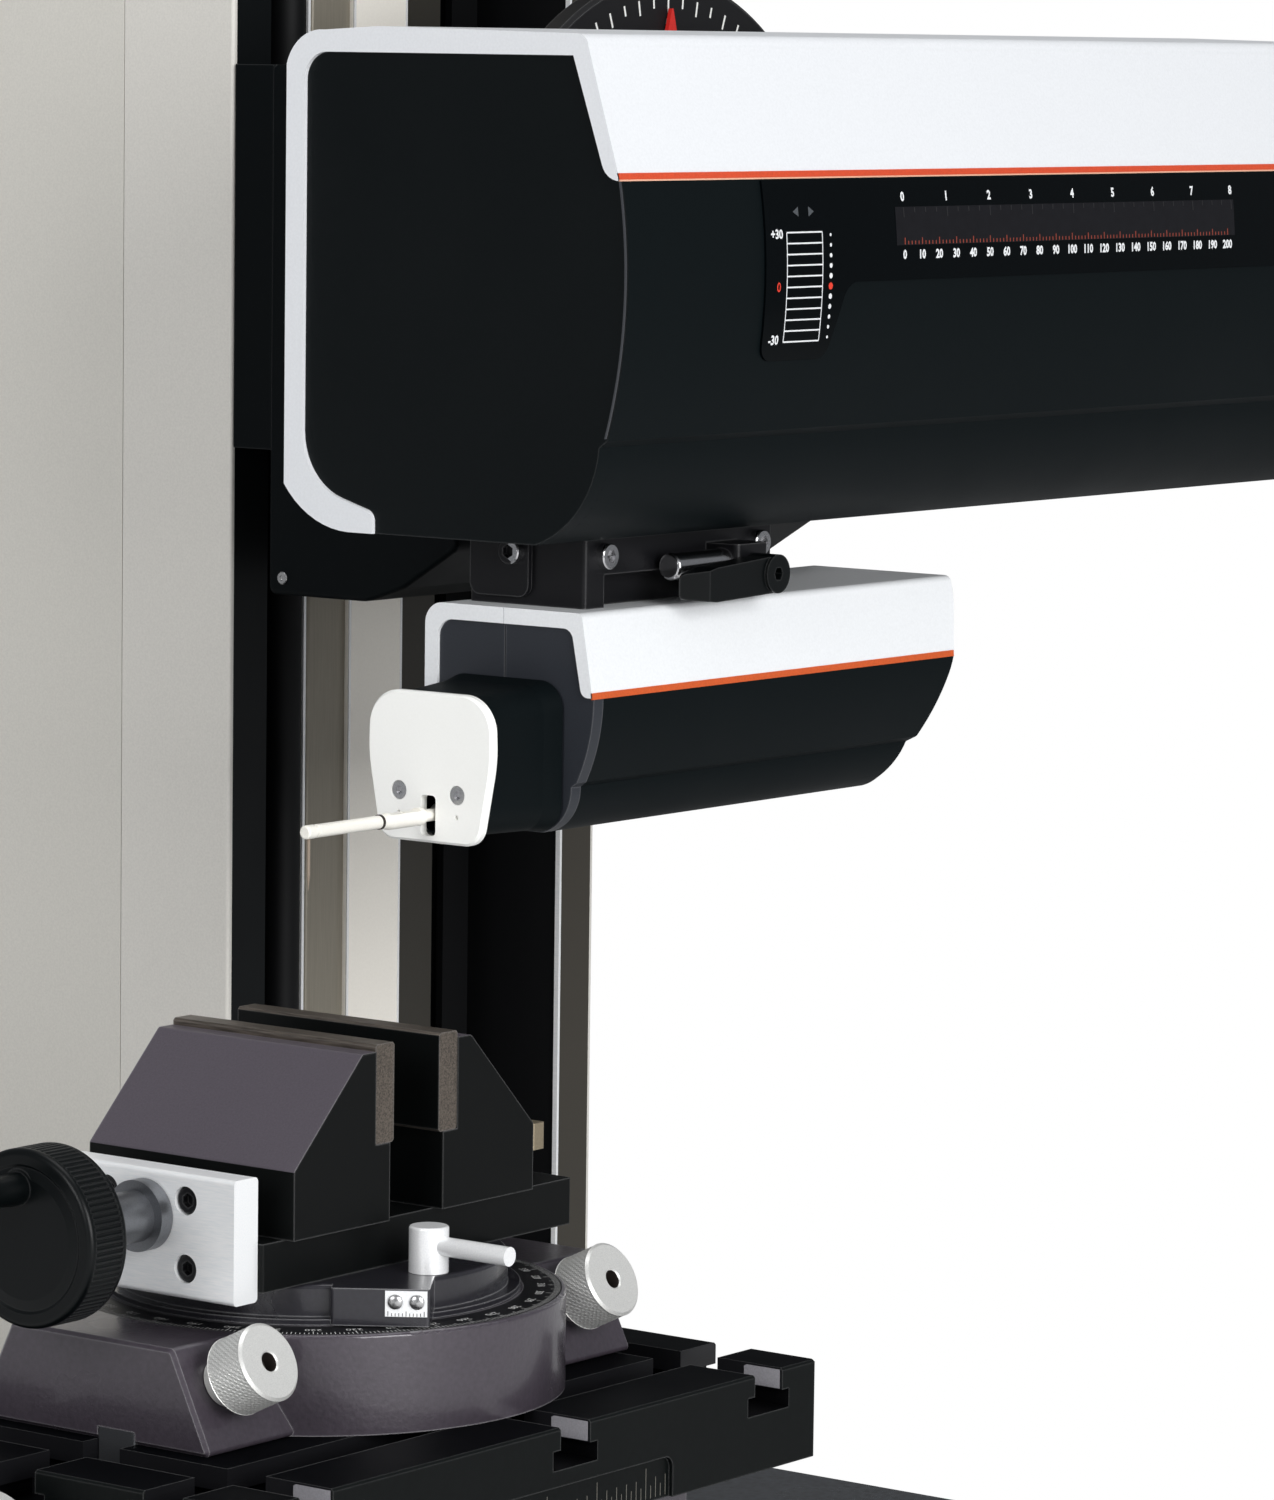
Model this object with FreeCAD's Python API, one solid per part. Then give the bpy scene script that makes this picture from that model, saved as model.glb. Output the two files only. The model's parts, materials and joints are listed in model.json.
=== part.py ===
import FreeCAD, Part
import math
import os
from FreeCAD import Vector

os.makedirs("parts", exist_ok=True)

# Frame: mm, +Z up, +X along the traverse, operator at -Y.
# The origin is the middle of the granite slab's underside.

# Granite slab
SLAB_X = 600.0
SLAB_Y = 450.0
SLAB_Z = 100.0

# Column, standing behind the traverse and centred on the tilt axis
COL_X = 180.0
COL_FRONT = 84.0
COL_SEAM = 134.0
COL_BACK = 222.0
COL_HALF = 105.0
COL_SHEET = 2.0
COL_TRIM = 20.0
COL_TOP = 950.0
CAP_T = 16.0
FOOT_T = 18.0
BEAM_FRONT = COL_FRONT + 22.5
BLOCK_HALF = 13.0
RAIL_OFF = COL_HALF - COL_TRIM - 2.0 - BLOCK_HALF
RAIL_W = 15.0
RAIL_T = 12.0
LIFT_R = 7.0
NUT_HALF = 8.5
LIFT_OFF = RAIL_OFF - BLOCK_HALF - 2.5 - NUT_HALF
LIFT_X = COL_X - LIFT_OFF
BEAM_HALF = LIFT_OFF - NUT_HALF - 1.5
LIFT_Y = COL_FRONT + 26.0

# Slider and protractor
TILT_Z = 546.0
DISC_R = COL_HALF
DISC_T = 8.0
SLIDE_FRONT = -16.0
SLIDE_BACK = 67.0
SLIDE_LOW = 437.0
SLIDE_TOP = 619.0
FLANGE_LOW = 487.0
SPINDLE_R = 25.0
RUN_FIT = 0.05
GAP = 0.3

# Traverse unit, drawn from the zero mark of the scale on its front
UNIT_X0 = -151.0
UNIT_X1 = 332.0
UNIT_REAR = 137.0
REAR_GAP = 2.0
ZERO = Vector(COL_X - 56.0, SLIDE_FRONT - DISC_T - REAR_GAP - UNIT_REAR, TILT_Z + 16.0)
UNIT_LOW = -91.3
SHELL = 3.0
CAP_X = 8.0
BAND = 8.0
LINE_Z = 24.8
MID_Y = 68.0
TRAVEL = 200.0
NUT_LEN = 90.0
CARR_X = -60.0
SCREW_Y = 36.0
SCREW_Z = -68.0
SCREW_R = 5.0

# Detector, hanging under the clamp block
DET_X0 = -123.0
DET_X1 = 86.0
DET_TOP = -114.6
DET_LOW = -186.2
DET_REAR = 100.3
DET_LINE = -141.0
NOSE_X = -157.0
ARM_X = -148.0
ARM_Z = -178.6
TIP_X = -219.0
TIP_Z = -197.0

# Cross table
TAB_X = -100.0
TAB_Y = -105.5
TAB_LX = 280.0
TAB_LY = 180.0
TAB_TOP = 209.5
TAB_T = 31.5
SLOT_W = 14.7
SLOT_NECK = 7.0
SLOT_HEAD_W = 22.0
SLOT_HEAD = 6.0
SLOT_PITCH = 57.0
CROSS_SLOTS = (TAB_X - 110.0, TAB_X + 13.0, TAB_X + 113.5)

# Rotary vise, drawn from its own axis on the table top
VISE = Vector(TAB_X + 8.0, TAB_Y + 10.5, TAB_TOP)
CAST_HALF = 104.0
CAST_LOW_Y = 47.4
CAST_TOP_Y = 32.3
CAST_H = 31.0
DRUM_R = CAST_HALF - 24.6
RING_R0 = DRUM_R - 13.4
FLANGE_R = RING_R0 - 1.0
BODY_R = FLANGE_R - 4.0
SPIGOT_R = 25.0
TURN_TOP = 43.0
JAW_OUT = 58.5
BAR_X0 = -max(BODY_R + 7.0, JAW_OUT + 9.5)
BAR_X1 = BODY_R + 23.0
BAR_Y = BODY_R - 24.0
BAR_TOP = 58.0
JAW_Y = BAR_Y + 4.25
JAW_GAP = 22.0
JAW_TOP = 111.3
PLATE_TOP = 113.5
VSCREW_Z = 64.5
VSCREW_R = 5.0
WHEEL_R = 27.0
LOCK_Y = -(BODY_R - 8.0)

# Clamp lever under the block, on its pin
LEVER_X = -37.4
LEVER_Z = -106.0
LEVER_R = 6.4
LEVER_TIP = -80.0
LEVER_PIN = 2.5


def box(x0, x1, y0, y1, z0, z1):
    return Part.makeBox(x1 - x0, y1 - y0, z1 - z0, Vector(x0, y0, z0))


def rod(x, y, z, axis, r, length):
    return Part.makeCylinder(r, length, Vector(x, y, z), axis)


def tube(x, y, z, axis, r1, r0, length):
    return rod(x, y, z, axis, r1, length).cut(rod(x, y, z, axis, r0, length))


AX = Vector(1, 0, 0)
AY = Vector(0, 1, 0)
AZ = Vector(0, 0, 1)


def rounded_wire(points, radii, place):
    """Closed wire through plane points, each corner rounded by its radius."""
    edges = []
    count = len(points)
    starts = []
    ends = []
    mids = []
    for i in range(count):
        p = points[i]
        a = points[i - 1]
        b = points[(i + 1) % count]
        r = radii[i]
        if r <= 0:
            starts.append(p)
            ends.append(p)
            mids.append(None)
            continue
        ua = ((a[0] - p[0]), (a[1] - p[1]))
        ub = ((b[0] - p[0]), (b[1] - p[1]))
        la = math.hypot(ua[0], ua[1])
        lb = math.hypot(ub[0], ub[1])
        ua = (ua[0] / la, ua[1] / la)
        ub = (ub[0] / lb, ub[1] / lb)
        half = math.acos(max(-1.0, min(1.0, ua[0] * ub[0] + ua[1] * ub[1]))) / 2.0
        t = r / math.tan(half)
        bis = (ua[0] + ub[0], ua[1] + ub[1])
        lbis = math.hypot(bis[0], bis[1])
        dist = r / math.sin(half)
        c = (p[0] + bis[0] / lbis * dist, p[1] + bis[1] / lbis * dist)
        starts.append((p[0] + ua[0] * t, p[1] + ua[1] * t))
        ends.append((p[0] + ub[0] * t, p[1] + ub[1] * t))
        mids.append((c[0] - bis[0] / lbis * r, c[1] - bis[1] / lbis * r))
    for i in range(count):
        if mids[i] is not None:
            arc = Part.Arc(place(*starts[i]), place(*mids[i]), place(*ends[i]))
            edges.append(arc.toShape())
        nxt = (i + 1) % count
        p1 = place(*ends[i])
        p2 = place(*starts[nxt])
        if p1.distanceToPoint(p2) > 1e-6:
            edges.append(Part.LineSegment(p1, p2).toShape())
    return Part.Wire(edges)


def prism_yz(points, radii, x0, x1):
    wire = rounded_wire(points, radii, lambda y, z: Vector(x0, y, z))
    return Part.Face(wire).extrude(Vector(x1 - x0, 0, 0))


def prism_xz(points, radii, y0, y1):
    wire = rounded_wire(points, radii, lambda x, z: Vector(x, y0, z))
    return Part.Face(wire).extrude(Vector(0, y1 - y0, 0))


def prism_xy(points, radii, z0, z1):
    wire = rounded_wire(points, radii, lambda x, y: Vector(x, y, z0))
    return Part.Face(wire).extrude(Vector(0, 0, z1 - z0))


def slab(x0, x1, y0, y1, z0, z1, r):
    """Block with its four upright edges rounded."""
    corners = [(x0, y0), (x1, y0), (x1, y1), (x0, y1)]
    return prism_xy(corners, [r] * 4, z0, z1)


def fuse(shapes):
    result = shapes[0]
    for s in shapes[1:]:
        result = result.fuse(s)
    return result.removeSplitter()


def group(shapes):
    return Part.makeCompound(shapes)


def mirror_x(shape, x):
    return shape.mirror(Vector(x, 0, 0), AX)


def socket_screw(head_r, head_h, shank_r, shank_l, key):
    """Cap screw along +Z: head above z 0, shank below, hexagon socket."""
    screw = rod(0, 0, 0, AZ, head_r, head_h)
    screw = screw.makeChamfer(head_h * 0.12, [screw.Edges[0]])
    hexa = [(key / math.sqrt(3) * math.cos(math.radians(60 * k)),
             key / math.sqrt(3) * math.sin(math.radians(60 * k))) for k in range(6)]
    screw = screw.cut(prism_xy(hexa, [0] * 6, head_h * 0.4, head_h + 1))
    return screw.fuse(rod(0, 0, -shank_l, AZ, shank_r, shank_l + 0.1)).removeSplitter()


def aim(shape, position, direction):
    """Turn a shape drawn along +Z to a direction and move it there."""
    copy = shape.copy()
    rot = FreeCAD.Rotation(AZ, direction)
    copy.Placement = FreeCAD.Placement(position, rot)
    return copy


def save(name, shape):
    shape.exportStep("parts/%s.step" % name)


# Stand and column


def granite_base():
    s = box(-SLAB_X / 2, SLAB_X / 2, -SLAB_Y / 2, SLAB_Y / 2, 0, SLAB_Z)
    upright = [e for e in s.Edges if abs(e.Vertexes[0].Z - e.Vertexes[1].Z) > 1]
    s = s.makeFillet(6.0, upright)
    rim = [e for e in s.Edges if e.BoundBox.ZMin > SLAB_Z - 0.01]
    return s.makeChamfer(3.0, rim)


def column_frame():
    half = COL_HALF - COL_SHEET
    wall = COL_HALF - COL_TRIM
    z0 = SLAB_Z
    s = box(COL_X - half, COL_X + half, COL_FRONT + 2, COL_SEAM + 18, z0, COL_TOP)
    inner = box(COL_X - wall, COL_X + wall, COL_FRONT, COL_SEAM, z0 + FOOT_T, COL_TOP - 15)
    s = s.cut(inner)
    corners = [(COL_X - half, COL_FRONT + 2), (COL_X + half, COL_FRONT + 2), (COL_X + half, COL_BACK - 4),
               (COL_X - half, COL_BACK - 4)]
    foot = prism_xy(corners, [0, 0, 8, 8], z0, z0 + FOOT_T)
    s = s.fuse(foot)
    for side in (-1, 1):
        x = COL_X + side * (COL_HALF - 45)
        y0 = COL_SEAM + 18
        pts = [(y0, z0 + FOOT_T), (COL_BACK - 12, z0 + FOOT_T), (y0, z0 + 260)]
        rib = prism_yz(pts, [0, 0, 0], x - 6, x + 6)
        s = s.fuse(rib)
    s = s.cut(rod(LIFT_X, LIFT_Y, z0 + FOOT_T - 10, AZ, 5.0 + RUN_FIT, 10.1))
    s = s.cut(rod(LIFT_X, LIFT_Y, COL_TOP - 15.1, AZ, 5.0 + RUN_FIT, 10.1))
    return s.removeSplitter()


def column_side_covers():
    x0 = COL_X - COL_HALF
    panel = box(x0, x0 + COL_SHEET, COL_FRONT, COL_SEAM - GAP, SLAB_Z, COL_TOP)
    edge = [e for e in panel.Edges if e.BoundBox.YMax < COL_FRONT + 0.01 and e.BoundBox.XMax < x0 + 0.01]
    panel = panel.makeFillet(1.2, edge)
    return group([panel, mirror_x(panel, COL_X)])


def column_rear_cover():
    x0 = COL_X - COL_HALF
    x1 = COL_X + COL_HALF
    pts = [(x0, COL_SEAM), (x0, COL_BACK), (x1, COL_BACK), (x1, COL_SEAM)]
    outer = prism_xy(pts, [0, 8, 8, 0], SLAB_Z, COL_TOP)
    t = COL_SHEET
    pts = [(x0 + t, COL_SEAM - 1), (x0 + t, COL_BACK - t), (x1 - t, COL_BACK - t), (x1 - t, COL_SEAM - 1)]
    s = outer.cut(prism_xy(pts, [0, 6, 6, 0], SLAB_Z - 1, COL_TOP + 1))
    for row in range(6):
        z = 200.0 + 14.0 * row
        a = COL_X - COL_HALF + 65
        b = COL_X + COL_HALF - 65
        vent = prism_xz([(a, z), (b, z), (b, z + 5), (a, z + 5)], [2.4] * 4, COL_BACK - t - 1, COL_BACK + 1)
        s = s.cut(vent)
        s = s.cut(vent.translated(Vector(0, 0, 600)))
    return s


def column_trims():
    x0 = COL_X - COL_HALF + COL_SHEET
    strip = box(x0, COL_X - COL_HALF + COL_TRIM, COL_FRONT, COL_FRONT + 2, SLAB_Z, COL_TOP)
    return group([strip, mirror_x(strip, COL_X)])


def column_cap():
    s = slab(COL_X - COL_HALF - 2, COL_X + COL_HALF + 2, COL_FRONT - 2, COL_BACK + 2,
             COL_TOP, COL_TOP + CAP_T, 8.0)
    rim = [e for e in s.Edges if e.BoundBox.ZMin > COL_TOP + CAP_T - 0.01]
    return s.makeFillet(4.0, rim)


def guide_beam():
    z0 = SLAB_Z + FOOT_T
    z1 = COL_TOP - 15
    s = box(COL_X - BEAM_HALF, COL_X + BEAM_HALF, BEAM_FRONT, COL_SEAM, z0, z1)
    for side in (-1, 1):
        for y in (BEAM_FRONT + 6, BEAM_FRONT + 17):
            x = COL_X + side * BEAM_HALF
            s = s.cut(box(x - 3, x + 3, y, y + 5, z0 - 1, z1 + 1))
    core = slab(COL_X - BEAM_HALF + 10, COL_X + BEAM_HALF - 10, BEAM_FRONT + 7, COL_SEAM - 7,
                z0 - 1, z1 + 1, 3.0)
    s = s.cut(core)
    corners = [e for e in s.Edges if e.BoundBox.YMax < BEAM_FRONT + 0.01
               and abs(abs(e.BoundBox.XMin - COL_X) - BEAM_HALF) < 0.01 and e.Length > 100]
    return s.makeFillet(1.5, corners)


def beam_cover():
    z0 = SLAB_Z + FOOT_T
    half = BEAM_HALF * 0.42
    s = box(COL_X - half, COL_X + half, BEAM_FRONT - 2, BEAM_FRONT, z0, COL_TOP - 15)
    edge = [e for e in s.Edges if e.BoundBox.YMax < BEAM_FRONT - 1.99 and e.Length > 100]
    return s.makeFillet(1.0, edge)


def guide_rails():
    z0 = SLAB_Z + FOOT_T + 7
    z1 = COL_TOP - 22
    rails = []
    for side in (-1, 1):
        x = COL_X + side * RAIL_OFF
        rail = box(x - RAIL_W / 2, x + RAIL_W / 2, COL_SEAM - RAIL_T, COL_SEAM, z0, z1)
        for e in (-1, 1):
            xe = x + e * RAIL_W / 2
            pts = [(xe, COL_SEAM - 9), (xe - e * 1.5, COL_SEAM - 7.5), (xe - e * 1.5, COL_SEAM - 5.5),
                   (xe, COL_SEAM - 4)]
            rail = rail.cut(prism_xy(pts, [0] * 4, z0 - 1, z1 + 1))
        rails.append(rail)
    return group(rails)


def column_screw():
    z0 = SLAB_Z + FOOT_T
    z1 = COL_TOP - 15
    s = rod(LIFT_X, LIFT_Y, z0 + GAP, AZ, LIFT_R, z1 - z0 - 2 * GAP)
    s = s.fuse(rod(LIFT_X, LIFT_Y, z0 - 9, AZ, 5.0, z1 - z0 + 18))
    return s.removeSplitter()


# Slider


def slider_body():
    front = SLIDE_FRONT
    back = SLIDE_BACK
    pts = [(front, 457), (7, 442.5), (23, SLIDE_LOW), (back, SLIDE_LOW), (back, SLIDE_TOP),
           (front, SLIDE_TOP)]
    s = prism_yz(pts, [4, 6, 20, 3, 0, 3], COL_X - COL_HALF, COL_X + COL_HALF)
    sides = [e for e in s.Edges if e.BoundBox.YMax < front + 0.01 and e.BoundBox.ZLength > 50]
    s = s.makeFillet(2.0, sides)
    flange = slab(COL_X - COL_HALF, COL_X + COL_HALF, back - 2, COL_FRONT - GAP, FLANGE_LOW, SLIDE_TOP, 1.5)
    s = s.fuse(flange)
    ring = rod(COL_X, front, TILT_Z, AY, DISC_R - 21, 50.0).cut(rod(COL_X, front, TILT_Z, AY, 36.0, 50.0))
    ring = ring.common(box(COL_X - DISC_R, COL_X + DISC_R, front, 40, SLIDE_LOW + 22, SLIDE_TOP - 10))
    for k in range(4):
        rib = box(-4, 4, front, 34, 0, DISC_R)
        rib.rotate(Vector(0, 0, 0), AY, 45.0 + 90.0 * k)
        rib.translate(Vector(COL_X, 0, TILT_Z))
        ring = ring.cut(rib)
    s = s.cut(ring)
    s = s.cut(rod(COL_X, front - 1, TILT_Z, AY, SPINDLE_R + RUN_FIT, 57.0))
    return s.removeSplitter()


def runner_blocks():
    blocks = []
    for side in (-1, 1):
        x = COL_X + side * RAIL_OFF
        for z in (FLANGE_LOW + 12, SLIDE_TOP - 62):
            b = slab(x - BLOCK_HALF, x + BLOCK_HALF, COL_FRONT - GAP, COL_SEAM - 3, z, z + 50, 1.0)
            b = b.cut(box(x - RAIL_W / 2 - RUN_FIT, x + RAIL_W / 2 + RUN_FIT, COL_SEAM - RAIL_T - RUN_FIT,
                          COL_SEAM, z - 1, z + 51))
            blocks.append(b)
    return group(blocks)


def screw_nut():
    z = 535.0
    s = box(LIFT_X - NUT_HALF, LIFT_X + 8, COL_FRONT - GAP, LIFT_Y + 4, z, z + 32)
    s = s.fuse(rod(LIFT_X, LIFT_Y, z - 6, AZ, NUT_HALF, 44))
    s = s.cut(box(LIFT_X + 8, LIFT_X + 12, COL_FRONT, COL_SEAM, z - 10, z + 50))
    s = s.cut(rod(LIFT_X, LIFT_Y, z - 10, AZ, LIFT_R + 0.1, 60))
    return s.removeSplitter()


def tilt_disc():
    s = rod(COL_X, SLIDE_FRONT - DISC_T, TILT_Z, AY, DISC_R, DISC_T)
    rim = [e for e in s.Edges if e.BoundBox.YMax < SLIDE_FRONT - DISC_T + 0.01 and e.Length > 5.9 * DISC_R]
    s = s.makeChamfer(1.5, rim)
    return s.cut(rod(COL_X, SLIDE_FRONT - DISC_T - 1, TILT_Z, AY, SPINDLE_R + RUN_FIT, DISC_T + 2))


# Traverse unit


UNIT_OUTLINE = [(2.6, LINE_Z, 0), (-0.1, -16.0, 1), (7.0, -57.3, 0), (10.0, -59.5, 0), (17.6, -79.0, 1),
                (35.0, UNIT_LOW, 0), (110.0, UNIT_LOW, 0), (124.6, -87.6, 1), (UNIT_REAR, -77.0, 0),
                (UNIT_REAR, 58.0, 0), (132.6, 65.2, 1), (121.4, 69.0, 0), (99.4, 70.3, 0), (19.5, 68.8, 0),
                (16.4, 67.6, 1), (15.1, 64.8, 0)]


def curved_wire(outline, x, inset=0.0):
    """Closed end outline at x; a point marked 1 is the middle of an arc. Inset moves it inwards."""
    count = len(outline)
    pts = []
    for i in range(count):
        a = outline[i - 1]
        p = outline[i]
        b = outline[(i + 1) % count]
        la = math.hypot(p[0] - a[0], p[1] - a[1])
        lb = math.hypot(b[0] - p[0], b[1] - p[1])
        na = ((p[1] - a[1]) / -la, (p[0] - a[0]) / la)
        nb = ((b[1] - p[1]) / -lb, (b[0] - p[0]) / lb)
        dot = na[0] * nb[0] + na[1] * nb[1]
        scale = inset / (1.0 + dot)
        pts.append(Vector(x, p[0] + (na[0] + nb[0]) * scale, p[1] + (na[1] + nb[1]) * scale))
    edges = []
    for i in range(count):
        if outline[i][2]:
            continue
        nxt = (i + 1) % count
        if outline[nxt][2]:
            edges.append(Part.Arc(pts[i], pts[nxt], pts[(i + 2) % count]).toShape())
        else:
            edges.append(Part.LineSegment(pts[i], pts[nxt]).toShape())
    return Part.Wire(edges)


def unit_prism(x0, x1, inset=0.0):
    return Part.Face(curved_wire(UNIT_OUTLINE, x0, inset)).extrude(Vector(x1 - x0, 0, 0))


def panel_region(x0, x1):
    """Prism of the black end panel: what the white band leaves open."""
    pts = [(-60, LINE_Z - 1.2), (7.6, LINE_Z - 1.2), (21, 62.0), (129.5, 62.0), (129.5, -76.0),
           (100.0, -84.5), (100.0, -130), (-60, -130)]
    return prism_yz(pts, [0, 7, 0, 9, 22, 4, 0, 0], x0, x1)


def shell_region(x0, x1):
    """Prism that parts the lower shell from the upper one."""
    pts = [(-60, LINE_Z - 0.6), (50, LINE_Z - 0.6), (50, -60), (100.0, -60.0), (100.0, -130), (-60, -130)]
    return prism_yz(pts, [0] * 6, x0, x1)


def unit_shell():
    a = UNIT_X0 + CAP_X
    b = UNIT_X1 - CAP_X
    return unit_prism(a, b).cut(unit_prism(a - 1, b + 1, SHELL))


def drive_cover():
    s = unit_shell().cut(shell_region(UNIT_X0, UNIT_X1))
    s = s.cut(rod(COL_X - ZERO.x, UNIT_REAR - 6, TILT_Z - ZERO.z, AY, 31.0, 8))
    return s


def drive_housing():
    s = unit_shell().common(shell_region(UNIT_X0, UNIT_X1))
    half = NUT_LEN / 2 - 5 + 3
    slot = slab(CARR_X - half, CARR_X + half + TRAVEL, MID_Y - 18, MID_Y + 18,
                UNIT_LOW - 2, UNIT_LOW + 8, 6.0)
    return s.cut(slot)


def end_frames():
    frame = unit_prism(UNIT_X0, UNIT_X0 + CAP_X).cut(panel_region(UNIT_X0 - 1, UNIT_X0 + CAP_X + 1))
    return group([frame, mirror_x(frame, (UNIT_X0 + UNIT_X1) / 2)])


def end_panels():
    panel = unit_prism(UNIT_X0 + 1.5, UNIT_X0 + CAP_X).common(panel_region(UNIT_X0, UNIT_X0 + CAP_X))
    panel = panel.cut(rod(UNIT_X0 + CAP_X - 4, SCREW_Y, SCREW_Z, AX, 3.5 + RUN_FIT, 5))
    return group([panel, mirror_x(panel, (UNIT_X0 + UNIT_X1) / 2)])


def display_panel():
    """Glossy front panel that follows the bulge, tall at its left end."""
    skin = unit_prism(-78, 250)
    skin = unit_prism(-78, 250, -0.8).cut(skin)
    shape = [(-77.5, 23.0), (238.0, 23.0), (238.0, -10.0), (-32.0, -10.0), (-42.0, -34.5), (-77.5, -34.5)]
    region = prism_xz(shape, [0, 3, 3, 9, 6, 5], -10, 12)
    return skin.common(region)


def drive_beam():
    s = box(UNIT_X0 + CAP_X, UNIT_X1 - CAP_X, 52, UNIT_REAR - SHELL, -50, 50)
    core = slab(UNIT_X0 + 30, UNIT_X1 - 30, 66, 118, -60, 36, 4)
    core = core.cut(box(UNIT_X0, UNIT_X1, 50, 135, -60, -36))
    s = s.cut(core)
    for k in range(4):
        x = UNIT_X0 + 60 + 120.0 * k
        s = s.cut(rod(x, 40, 0, AY, 16.0, 40))
    return s.removeSplitter()


def drive_rail():
    half = NUT_LEN / 2
    s = box(CARR_X - half - 20, CARR_X + half + TRAVEL + 20, MID_Y - 10, MID_Y + 10, -62, -50)
    low = [e for e in s.Edges if e.BoundBox.ZMax < -61.9 and e.Length > 100]
    return s.makeChamfer(1.5, low)


def drive_screw():
    a = UNIT_X0 + CAP_X
    b = UNIT_X1 - CAP_X
    s = rod(a + GAP, SCREW_Y, SCREW_Z, AX, SCREW_R, b - a - 2 * GAP)
    s = s.fuse(rod(a - 3.7, SCREW_Y, SCREW_Z, AX, 3.5, b - a + 7.4))
    return s.removeSplitter()


def tilt_spindle():
    x = COL_X - ZERO.x
    z = TILT_Z - ZERO.z
    y0 = UNIT_REAR - SHELL
    front = SLIDE_FRONT - DISC_T - ZERO.y
    s = rod(x, y0, z, AY, 30.5, front - y0 - 0.1)
    s = s.fuse(rod(x, y0, z, AY, SPINDLE_R, 67.0))
    return s.removeSplitter().cut(rod(x, y0 - 1, z, AY, 8.0, 70))


def angle_pointer():
    x = COL_X - ZERO.x
    top = TILT_Z - ZERO.z + DISC_R - 11
    pts = [(x - 2.6, top - 32), (x + 2.6, top - 32), (x + 2.6, top - 8), (x + 0.4, top), (x - 0.4, top),
           (x - 2.6, top - 8)]
    return prism_xz(pts, [0] * 6, UNIT_REAR, UNIT_REAR + 1.5)


# Carriage and clamp


def carriage():
    half = NUT_LEN / 2
    s = slab(CARR_X - half, CARR_X + half, 25, 94, -80, -54, 2.0)
    s = s.cut(box(CARR_X - 60, CARR_X + 60, MID_Y - 10 - RUN_FIT, MID_Y + 10 + RUN_FIT, -62 - RUN_FIT, -50))
    s = s.cut(rod(CARR_X - 60, SCREW_Y, SCREW_Z, AX, SCREW_R + 0.1, 120))
    neck = slab(CARR_X - half + 5, CARR_X + half - 5, MID_Y - 16, MID_Y + 16, UNIT_LOW - 1, -80, 4.0)
    return s.fuse(neck).removeSplitter()


def clamp_block():
    x0 = CARR_X - 51
    x1 = CARR_X + 51
    y0 = MID_Y - 23.6
    y1 = MID_Y + 23.6
    top = UNIT_LOW - 1
    s = slab(x0, x1, y0, y1, DET_TOP, top, 1.5)
    s = s.cut(slab(x0 + 10, x1 - 8, y0 - 10, y0 + 7, DET_TOP - 1, -104, 3.0))
    ear = slab(LEVER_X - 8.6, LEVER_X + 8.4, 31.3, y0 + 4, -112.6, -96.5, 2.0)
    s = s.fuse(ear)
    s = s.cut(rod(LEVER_X - 10, 38, -102.5, AX, 4.5, 6.4))
    s = s.cut(rod(LEVER_X, 20, LEVER_Z, AY, LEVER_PIN + RUN_FIT, 22))
    for x in (-101.4, -17.9):
        s = s.cut(rod(x, y0 - 1, -97.9, AY, 2.0, 6))
    return s.removeSplitter()


def block_plate():
    x0 = CARR_X - 51
    pts = [(66, -93), (90, -93), (90, -112), (66, -112)]
    s = prism_yz(pts, [0, 0, 4, 4], x0 - 2, x0)
    return s.cut(rod(x0 - 3, 72, -97.2, AX, 2.0, 5))


def block_screws():
    y0 = MID_Y - 23.6
    base = socket_screw(4.2, 3.2, 2.0, 1.8, 4.0)
    x0 = CARR_X - 51
    return group([aim(base, Vector(-101.4, y0, -97.9), Vector(0, -1, 0)),
                  aim(base, Vector(-17.9, y0, -97.9), Vector(0, -1, 0)),
                  aim(base, Vector(x0 - 2, 72, -97.2), Vector(-1, 0, 0))])


def clamp_rod():
    s = rod(-75, 38, -102.5, AX, 4.5, LEVER_X - 3.7 + 75)
    end = [e for e in s.Edges if e.BoundBox.XMax < -74.9]
    return s.makeFillet(1.2, end)


def clamp_lever():
    """Flat lever on its pin: round hub, level arm, end slanted back from the front."""
    x = LEVER_X
    z = LEVER_Z
    hub = rod(x, 21, z, AY, LEVER_R, 10)
    outline = [(x, z + 5.9), (x, z - 6.2), (LEVER_TIP + 10, z - 7.4), (LEVER_TIP, z - 6.4),
               (LEVER_TIP, z + 1.6), (LEVER_TIP + 10, z + 3.8)]
    arm = prism_xz(outline, [0, 0, 8, 2, 2, 8], 22, 30)
    corner = [(LEVER_TIP - 1, 21), (LEVER_TIP + 7, 21), (LEVER_TIP, 30), (LEVER_TIP - 1, 30)]
    slant = prism_xy(corner, [0] * 4, z - 20, z + 20)
    s = hub.fuse(arm.cut(slant)).removeSplitter()
    s = s.fuse(rod(x, 31, z, AY, LEVER_PIN, 7))
    turns = [math.radians(60 * k) for k in range(6)]
    hexa = [(x + 2.3 * math.cos(a), z + 2.3 * math.sin(a)) for a in turns]
    s = s.cut(prism_xz(hexa, [0] * 6, 20, 24))
    return s.removeSplitter()


# Detector


DET_OUTLINE = [(31.9, DET_LINE, 0), (33.6, -156.0, 1), (38.4, -169.2, 0), (40.6, -170.8, 0),
               (44.2, -181.2, 1), (52.0, DET_LOW, 0), (86.0, DET_LOW, 0), (95.6, -182.2, 1),
               (DET_REAR, -173.0, 0), (DET_REAR, -121.6, 0), (98.25, -116.65, 1), (93.3, DET_TOP, 0),
               (38.4, DET_TOP, 0), (36.9, -115.2, 1), (36.1, -116.8, 0)]


def detector_prism(x0, x1, inset=0.0):
    return Part.Face(curved_wire(DET_OUTLINE, x0, inset)).extrude(Vector(x1 - x0, 0, 0))


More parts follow.
